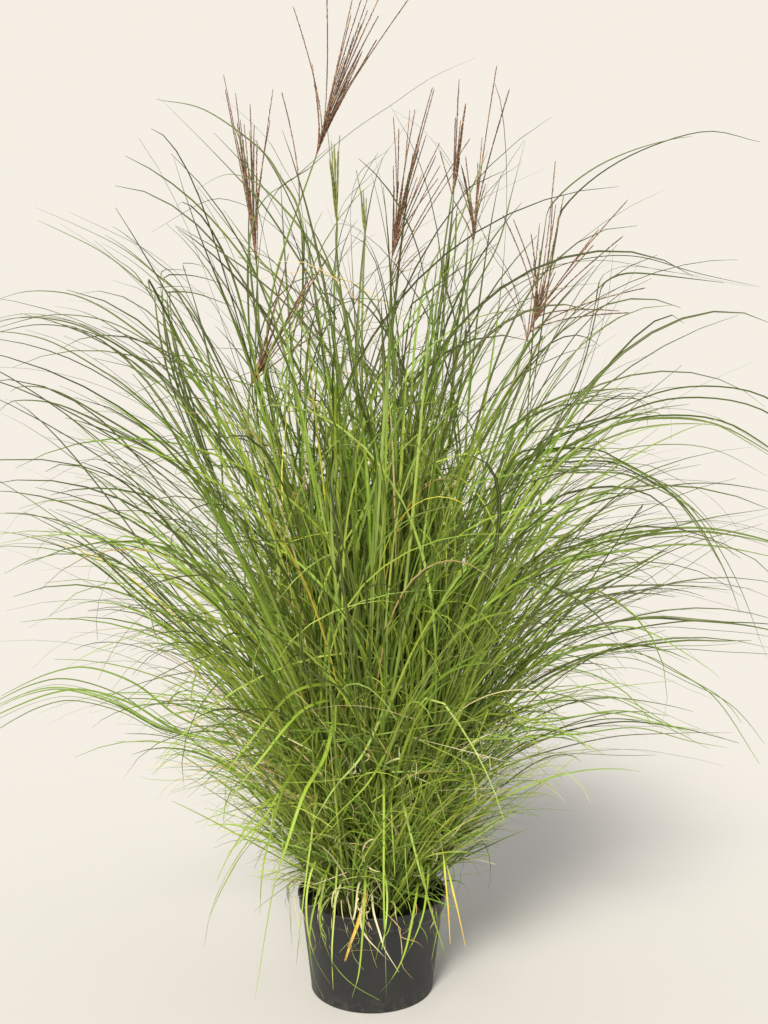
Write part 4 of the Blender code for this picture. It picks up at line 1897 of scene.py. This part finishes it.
@dataclass
class FlowerHead:
    """A flowering stem and the fan of racemes on it."""

    number: str
    plan: HeadPlan
    stem: bpy.types.Object
    plume: bpy.types.Object
    sweeps: Sweeps
    finishes: Finishes
    stem_levels: int = 14
    stem_half_width: float = 0.0030
    stem_taper: float = 0.0018
    joints: tuple[float, ...] = (0.24, 0.43, 0.6, 0.76)
    joint_reach: float = 0.014
    joint_swell: float = 0.0005
    raceme_radius: float = 0.0009
    spacing: float = 0.0036
    spikelet: tuple[float, float] = (0.0056, 0.00095)

    def __post_init__(self) -> None:
        """Read the stem's middle line and the head's foot and top from their solids."""
        self.chance = random.Random(700 + int(self.number))
        points = np.array([v.co for v in self.stem.data.vertices])
        order = points[np.argsort(points[:, 2])]
        parts = np.array_split(order, self.stem_levels)
        self.line = np.array([part.mean(axis=0) for part in parts])
        fan = np.array([v.co for v in self.plume.data.vertices])
        self.foot = fan[fan[:, 2] < fan[:, 2].min() + 0.002].mean(axis=0)
        far = np.linalg.norm(fan - self.foot, axis=1)
        self.top = fan[far > far.max() - 0.002].mean(axis=0)

    def stem_piece(self) -> bpy.types.Object:
        """Make the stem with its swollen joints.

        Returns:
            The stem's piece.
        """
        ends = np.concatenate([self.line, self.foot[None]])
        ends[0, 2] = self.line[0, 2] - 0.01
        share = np.linspace(0.0, 1.0, 41)
        places = np.linspace(0.0, 1.0, len(ends))
        line = np.stack([np.interp(share, places, ends[:, axis]) for axis in range(3)], axis=1)
        for _ in range(6):
            line[1:-1] = (line[:-2] + 2.0 * line[1:-1] + line[2:]) / 4.0
        width = self.stem_half_width - self.stem_taper * share
        near = np.abs(share[:, None] - np.array(self.joints)[None]).min(axis=1)
        width = width + self.joint_swell * (near < self.joint_reach)
        guides = Guides()
        guides.add(line, width, facing_across(headings(line), np.zeros(len(line))), np.full(len(line), 0.5))
        values = {"Rows": 1.0, "Finish": self.finishes.stalk}
        piece = self.sweeps.apply(
            self.sweeps.trees[Section.ROUND], f"flower_stalk_{self.number}", guides.mesh("stalk"), values
        )
        sharpen(piece, 50.0)
        return piece

    def raceme_lines(self) -> list[np.ndarray]:
        """Lay out the racemes, each from the head's axis to its tip.

        Returns:
            The points of each raceme.
        """
        axis = self.top - self.foot
        size = float(np.linalg.norm(axis))
        heading = axis / size
        below = self.foot - self.line[-3]
        below = below / np.linalg.norm(below)
        crest = self.foot + heading * size * self.plan.axis_share
        lines = [bend(self.foot, self.foot + heading * size * 0.2, crest, 8)]
        tips = [np.array([side, 0.0, up]) for side, up, _ in self.plan.racemes]
        starts = [start for _, _, start in self.plan.racemes]
        for _ in range(self.plan.fill):
            first, second = self.chance.sample(range(len(self.plan.racemes)), 2)
            mix = self.chance.random()
            tips.append((tips[first] * mix + tips[second] * (1 - mix)) * self.chance.uniform(0.6, 0.98))
            starts.append(self.chance.uniform(0.0, 0.3))
        spread = self.plan.depth * max(abs(tip[0]) + 0.05 for tip in tips)
        for tip, start in zip(tips, starts):
            tip = tip + np.array([0.0, self.chance.gauss(0.0, spread * 0.5), 0.0])
            if start >= 0.0:
                root = self.foot + heading * size * self.plan.axis_share * start
                lead = heading
            else:
                root = self.foot + below * size * start
                lead = below
            end = self.foot + tip
            reach = float(np.linalg.norm(end - root))
            pull = root + (lead * 0.4 + (end - root) / reach * 0.6) * reach * 0.34
            pull = pull + np.array([self.chance.gauss(0, 0.003), self.chance.gauss(0, 0.003), 0.0])
            lines.append(bend(root, pull, end, 14))
        return lines

    def fan_piece(self) -> bpy.types.Object:
        """Make the racemes with their spikelets.

        Returns:
            The head's piece.
        """
        guides = Guides()
        for line in self.raceme_lines():
            count = len(line)
            width = np.full(count, self.raceme_radius) * np.linspace(1.15, 0.9, count)
            hue = np.full(count, self.chance.random()) * 0.8 + np.linspace(0.2, 0.0, count)
            guides.add(line, width, facing_across(headings(line), np.zeros(count)), hue)
        length, width = self.spikelet
        if not self.plan.ripe:
            length, width = length * 0.9, width * 0.7
        finish = self.finishes.ripe if self.plan.ripe else self.finishes.young
        piece = self.sweeps.apply(
            self.sweeps.raceme,
            f"racemes_{self.number}",
            guides.mesh("racemes"),
            {
                "Spacing": self.spacing,
                "Spikelet Length": length,
                "Spikelet Width": width,
                "Splay": 0.15 if self.plan.ripe else 0.07,
                "Seed": int(self.number),
                "Finish": finish,
            },
        )
        sharpen(piece, 50.0)
        return piece

    def build(self) -> None:
        """Build the stem and the head in place of their solids."""
        seat(self.stem_piece(), "stem", self.stem.name)
        seat(self.fan_piece(), "plume_ripe" if self.plan.ripe else "plume_young", self.plume.name)


@dataclass
class NurseryPot:
    """The moulded pot: rolled rim, collar with a ledge, tapered wall and a drained floor."""

    node: bpy.types.Object
    finish: bpy.types.Material
    sides: int = 128
    wall: float = 0.0018
    collar_depth: float = 0.024
    foot_ring: float = 0.0035
    holes: int = 6
    hole_radius: float = 0.007
    hole_ring: float = 0.068
    hole_sides: int = 20
    drill_depth: float = 0.03

    def __post_init__(self) -> None:
        """Read the pot's radii from its solid."""
        points = np.array([v.co for v in self.node.data.vertices])
        radius = np.hypot(points[:, 0], points[:, 1])
        self.rim_radius = float(radius.max())
        self.foot_radius = float(radius[points[:, 2] < 0.004].max())
        self.height = float(points[:, 2].max())

    def profile(self) -> list[tuple[float, float]]:
        """Return the turned outline, up the outside, over the rim, down the inside and under the floor.

        Returns:
            Radius and height of each point.
        """
        rim, foot, top = self.rim_radius, self.foot_radius, self.height
        ledge = top - self.collar_depth
        shoulder = rim - 0.0065
        lip = [
            (rim - 0.0005, top - 0.0046),
            (rim, top - 0.0036),
            (rim, top - 0.0014),
            (rim - 0.0004, top - 0.0005),
            (rim - 0.0012, top),
            (rim - 0.0026, top),
            (rim - 0.0036, top - 0.0006),
        ]
        outside = [
            (foot - 0.0028, 0.0),
            (foot - 0.0009, 0.0004),
            (foot - 0.0001, 0.0016),
            (foot, 0.004),
            (foot + 0.0004, 0.010),
            (shoulder - 0.0006, ledge - 0.0030),
            (shoulder - 0.0001, ledge - 0.0016),
            (shoulder + 0.0012, ledge - 0.0002),
            (rim - 0.0034, ledge + 0.0004),
            (rim - 0.0026, ledge + 0.0012),
            (rim - 0.0025, ledge + 0.003),
            (rim - 0.0022, top - 0.0072),
            (rim - 0.0018, top - 0.0054),
        ]
        inside = [
            (rim - 0.0044, top - 0.004),
            (rim - 0.0046, ledge + 0.004),
            (shoulder - self.wall, ledge - 0.002),
            (foot - self.wall + 0.001, 0.008),
            (foot - 0.006, self.foot_ring + 0.0025),
        ]
        return outside + lip + inside

    def build(self) -> None:
        """Build the pot in place of its solid."""
        mesh = bmesh.new()
        rings = []
        for radius, height in self.profile():
            ring = []
            for side in range(self.sides):
                turn = 2.0 * math.pi * side / self.sides
                ring.append(mesh.verts.new((radius * math.cos(turn), radius * math.sin(turn), height)))
            rings.append(ring)
        for low, high in zip(rings, rings[1:]):
            for side in range(self.sides):
                after = (side + 1) % self.sides
                mesh.faces.new((low[side], low[after], high[after], high[side]))
        self.close_floor(mesh, rings[-1], rings[0])
        bmesh.ops.recalc_face_normals(mesh, faces=mesh.faces)
        data = bpy.data.meshes.new("moulded_pot")
        mesh.to_mesh(data)
        mesh.free()
        data.materials.append(self.finish)
        piece = bpy.data.objects.new("moulded_pot", data)
        bpy.context.scene.collection.objects.link(piece)
        piece = self.drill(piece)
        sharpen(piece, 48.0)
        seat(piece, "pot_plastic", self.node.name)

    def close_floor(self, mesh: bmesh.types.BMesh, inner: list, outer: list) -> None:
        """Close the pot's floor above and below, standing on a ring at its edge.

        Args:
            mesh: The mesh being built.
            inner: The last ring inside.
            outer: The first ring outside.
        """
        height = self.foot_ring
        under = [mesh.verts.new((v.co.x * 0.955, v.co.y * 0.955, 0.0)) for v in outer]
        raised = [mesh.verts.new((v.co.x * 0.94, v.co.y * 0.94, height - 0.0005)) for v in outer]
        for low, high in ((outer, under), (under, raised)):
            for side in range(self.sides):
                after = (side + 1) % self.sides
                mesh.faces.new((low[side], high[side], high[after], low[after]))
        mesh.faces.new(raised)
        mesh.faces.new(inner)

    def drill(self, piece: bpy.types.Object) -> bpy.types.Object:
        """Cut the drainage holes.

        Args:
            piece: The pot with a whole floor.

        Returns:
            The pot with holes.
        """
        cutter_mesh = bmesh.new()
        for hole in range(self.holes):
            turn = 2.0 * math.pi * hole / self.holes
            made = bmesh.ops.create_cone(
                cutter_mesh,
                cap_ends=True,
                segments=self.hole_sides,
                radius1=self.hole_radius,
                radius2=self.hole_radius,
                depth=self.drill_depth,
            )
            shift = Vector((self.hole_ring * math.cos(turn), self.hole_ring * math.sin(turn), 0.004))
            bmesh.ops.translate(cutter_mesh, verts=made["verts"], vec=shift)
        data = bpy.data.meshes.new("drills")
        cutter_mesh.to_mesh(data)
        cutter_mesh.free()
        cutter = bpy.data.objects.new("drills", data)
        bpy.context.scene.collection.objects.link(cutter)
        cut = piece.modifiers.new("drain", "BOOLEAN")
        cut.object, cut.operation, cut.solver = cutter, "DIFFERENCE", "EXACT"
        graph = bpy.context.evaluated_depsgraph_get()
        result = bpy.data.meshes.new_from_object(piece.evaluated_get(graph))
        piece.modifiers.clear()
        piece.data = result
        bpy.data.objects.remove(cutter, do_unlink=True)
        return piece


@dataclass
class SoilBed:
    """The potting mix: a lumpy surface strewn with crumbs and bark."""

    node: bpy.types.Object
    sweeps: Sweeps
    finish: bpy.types.Material
    rings: int = 26
    sides: int = 84
    swells: int = 14
    lump: float = 0.0022
    edge_room: float = 0.0004
    density: float = 16000.0
    crumb: float = 0.0019
    seed: int = 21
    crumb_seed: int = 5

    def build(self) -> None:
        """Build the soil in place of its solid."""
        low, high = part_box(self.node.name)
        points = np.array([v.co for v in self.node.data.vertices])
        radius = np.hypot(points[:, 0], points[:, 1])
        edge = float(radius.max()) - self.edge_room
        rim = float(points[radius > edge - 0.001][:, 2].max())
        chance = random.Random(self.seed)
        waves = [
            (chance.uniform(60, 330), chance.uniform(0, 6.3), chance.uniform(0, 6.3))
            for _ in range(self.swells)
        ]
        mesh = bmesh.new()
        centre = mesh.verts.new((0.0, 0.0, high.z))
        rings = []
        for ring in range(1, self.rings + 1):
            share = ring / self.rings
            row = []
            for side in range(self.sides):
                turn = 2.0 * math.pi * side / self.sides
                x, y = edge * share * math.cos(turn), edge * share * math.sin(turn)
                heaves = (math.sin(k * (x * math.cos(a) + y * math.sin(a)) + b) for k, a, b in waves)
                lift = sum(heaves) / len(waves)
                level = high.z + (rim - high.z) * share**3
                row.append(mesh.verts.new((x, y, level + self.lump * 2.4 * lift * (1.0 - share**8))))
            rings.append(row)
        for side in range(self.sides):
            after = (side + 1) % self.sides
            mesh.faces.new((centre, rings[0][side], rings[0][after]))
            for near, far in zip(rings, rings[1:]):
                mesh.faces.new((near[side], far[side], far[after], near[after]))
        foot = [mesh.verts.new((v.co.x * 0.88, v.co.y * 0.88, low.z)) for v in rings[-1]]
        for side in range(self.sides):
            after = (side + 1) % self.sides
            mesh.faces.new((rings[-1][side], foot[side], foot[after], rings[-1][after]))
        mesh.faces.new(list(reversed(foot)))
        bmesh.ops.recalc_face_normals(mesh, faces=mesh.faces)
        data = bpy.data.meshes.new("soil_ground")
        mesh.to_mesh(data)
        mesh.free()
        piece = self.sweeps.apply(
            self.sweeps.scatter,
            "crumbly_soil",
            data,
            {
                "Density": self.density,
                "Crumb Size": self.crumb,
                "Reach": edge - 2.0 * self.crumb,
                "Seed": self.crumb_seed,
                "Finish": self.finish,
            },
        )
        sharpen(piece, 50.0)
        seat(piece, "soil", self.node.name)


@dataclass(frozen=True)
class Studio:
    """Plain floor, soft light and the camera."""

    floor_size: float = 400.0
    floor: str = "CAC8C4"
    sky: str = "F4F3F2"
    sky_strength: float = 0.70
    sun: str = "FFF9EF"
    sun_strength: float = 4.5
    sun_width: float = 16.0
    sun_lean: tuple[float, float] = (48.0, -20.0)
    camera_place: tuple[float, float, float] = (0.02, -1.64, 0.795)
    lens: float = 34.14
    sensor: float = 36.0

    def build(self) -> None:
        """Build the floor, the light and the camera."""
        self.lay_floor()
        self.light_air()
        self.add_sun()
        camera = bpy.data.objects.new("camera", bpy.data.cameras.new("camera"))
        camera.data.lens, camera.data.sensor_width = self.lens, self.sensor
        camera.data.clip_end = 2.0 * self.floor_size
        camera.location, camera.rotation_euler = self.camera_place, (math.radians(90.0), 0.0, 0.0)
        bpy.context.scene.collection.objects.link(camera)
        bpy.context.scene.camera = camera
        bpy.context.scene.view_settings.view_transform = "Standard"

    def lay_floor(self) -> None:
        """Lay the pale matt floor."""
        material, graph, shader = new_material("studio_floor")
        noise = graph.node("ShaderNodeTexNoise", {"Vector": graph.place(), "Scale": 3.0, "Detail": 5.0})
        paler = tuple(min(1.0, channel * 1.015) for channel in linear(self.floor))
        tone = graph.blend(noise.outputs["Fac"], linear(self.floor), paler)
        graph.feed(shader.inputs["Base Color"], tone)
        shader.inputs["Roughness"].default_value = 1.0
        shader.inputs["Specular IOR Level"].default_value = 0.0
        bpy.ops.mesh.primitive_circle_add(vertices=128, radius=self.floor_size, fill_type="NGON")
        floor = bpy.context.active_object
        floor.name = "studio_floor"
        floor.data.materials.append(material)
        floor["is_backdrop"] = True

    def light_air(self) -> None:
        """Light everything softly from all round, and show the air in the far floor's own tone."""
        world = bpy.data.worlds.new("studio_air")
        bpy.context.scene.world = world
        world.use_nodes = True
        graph = Graph(world.node_tree)
        air = world.node_tree.nodes["Background"]
        sky, sun, floor = linear(self.sky), linear(self.sun), linear(self.floor)
        height = math.cos(math.radians(self.sun_lean[0])) * math.cos(math.radians(self.sun_lean[1]))
        lit = [self.sky_strength * sky[i] + self.sun_strength * height * sun[i] / math.pi for i in range(3)]
        seen = tuple(floor[i] * 1.0075 * lit[i] for i in range(3)) + (1.0,)
        shown = tuple(channel * self.sky_strength for channel in sky[:3]) + (1.0,)
        camera_ray = graph.node("ShaderNodeLightPath").outputs["Is Camera Ray"]
        graph.feed(air.inputs["Color"], graph.blend(camera_ray, shown, seen))
        air.inputs["Strength"].default_value = 1.0

    def add_sun(self) -> None:
        """Add the broad soft light from above and in front."""
        lamp = bpy.data.objects.new("soft_sun", bpy.data.lights.new("soft_sun", "SUN"))
        lamp.data.energy, lamp.data.angle = self.sun_strength, math.radians(self.sun_width)
        lamp.data.color = linear(self.sun)[:3]
        lamp.rotation_euler = (math.radians(self.sun_lean[0]), math.radians(self.sun_lean[1]), 0.0)
        bpy.context.scene.collection.objects.link(lamp)


def main() -> None:
    """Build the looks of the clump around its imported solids."""
    logging.basicConfig(level=logging.INFO, format="%(message)s")
    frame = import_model()
    cad_low, cad_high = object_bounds()
    nodes = frame["nodes"]
    effects = Effects()
    sweeps = Sweeps()
    finishes = Finishes(effects)
    NurseryPot(nodes["pot"], finishes.pot).build()
    SoilBed(nodes["potting_soil"], sweeps, finishes.soil).build()
    bounds = Bounds(
        low=tuple(c - 2.0 * LEAF_ROOM for c in cad_low),
        high=tuple(c + LEAF_ROOM for c in cad_high),
    )
    Foliage(frame, sweeps, finishes, bounds).build()
    for name, features, copies in (
        ("high_blades", HIGH_FEATURES, 2),
        ("side_blades", SIDE_FEATURES, 8),
        ("front_blades", FRONT_FEATURES, 2),
    ):
        FeatureBlades(name, features, sweeps, finishes.leaf, Studio.camera_place, copies).build()
    Undergrowth(sweeps, finishes.leaf, bounds).build()
    for number, plan in HEADS.items():
        stem, plume = nodes[f"flower_stem_{number}"], nodes[f"plume_{number}"]
        FlowerHead(number, plan, stem, plume, sweeps, finishes).build()
    Studio().build()


if __name__ == "__main__":
    main()
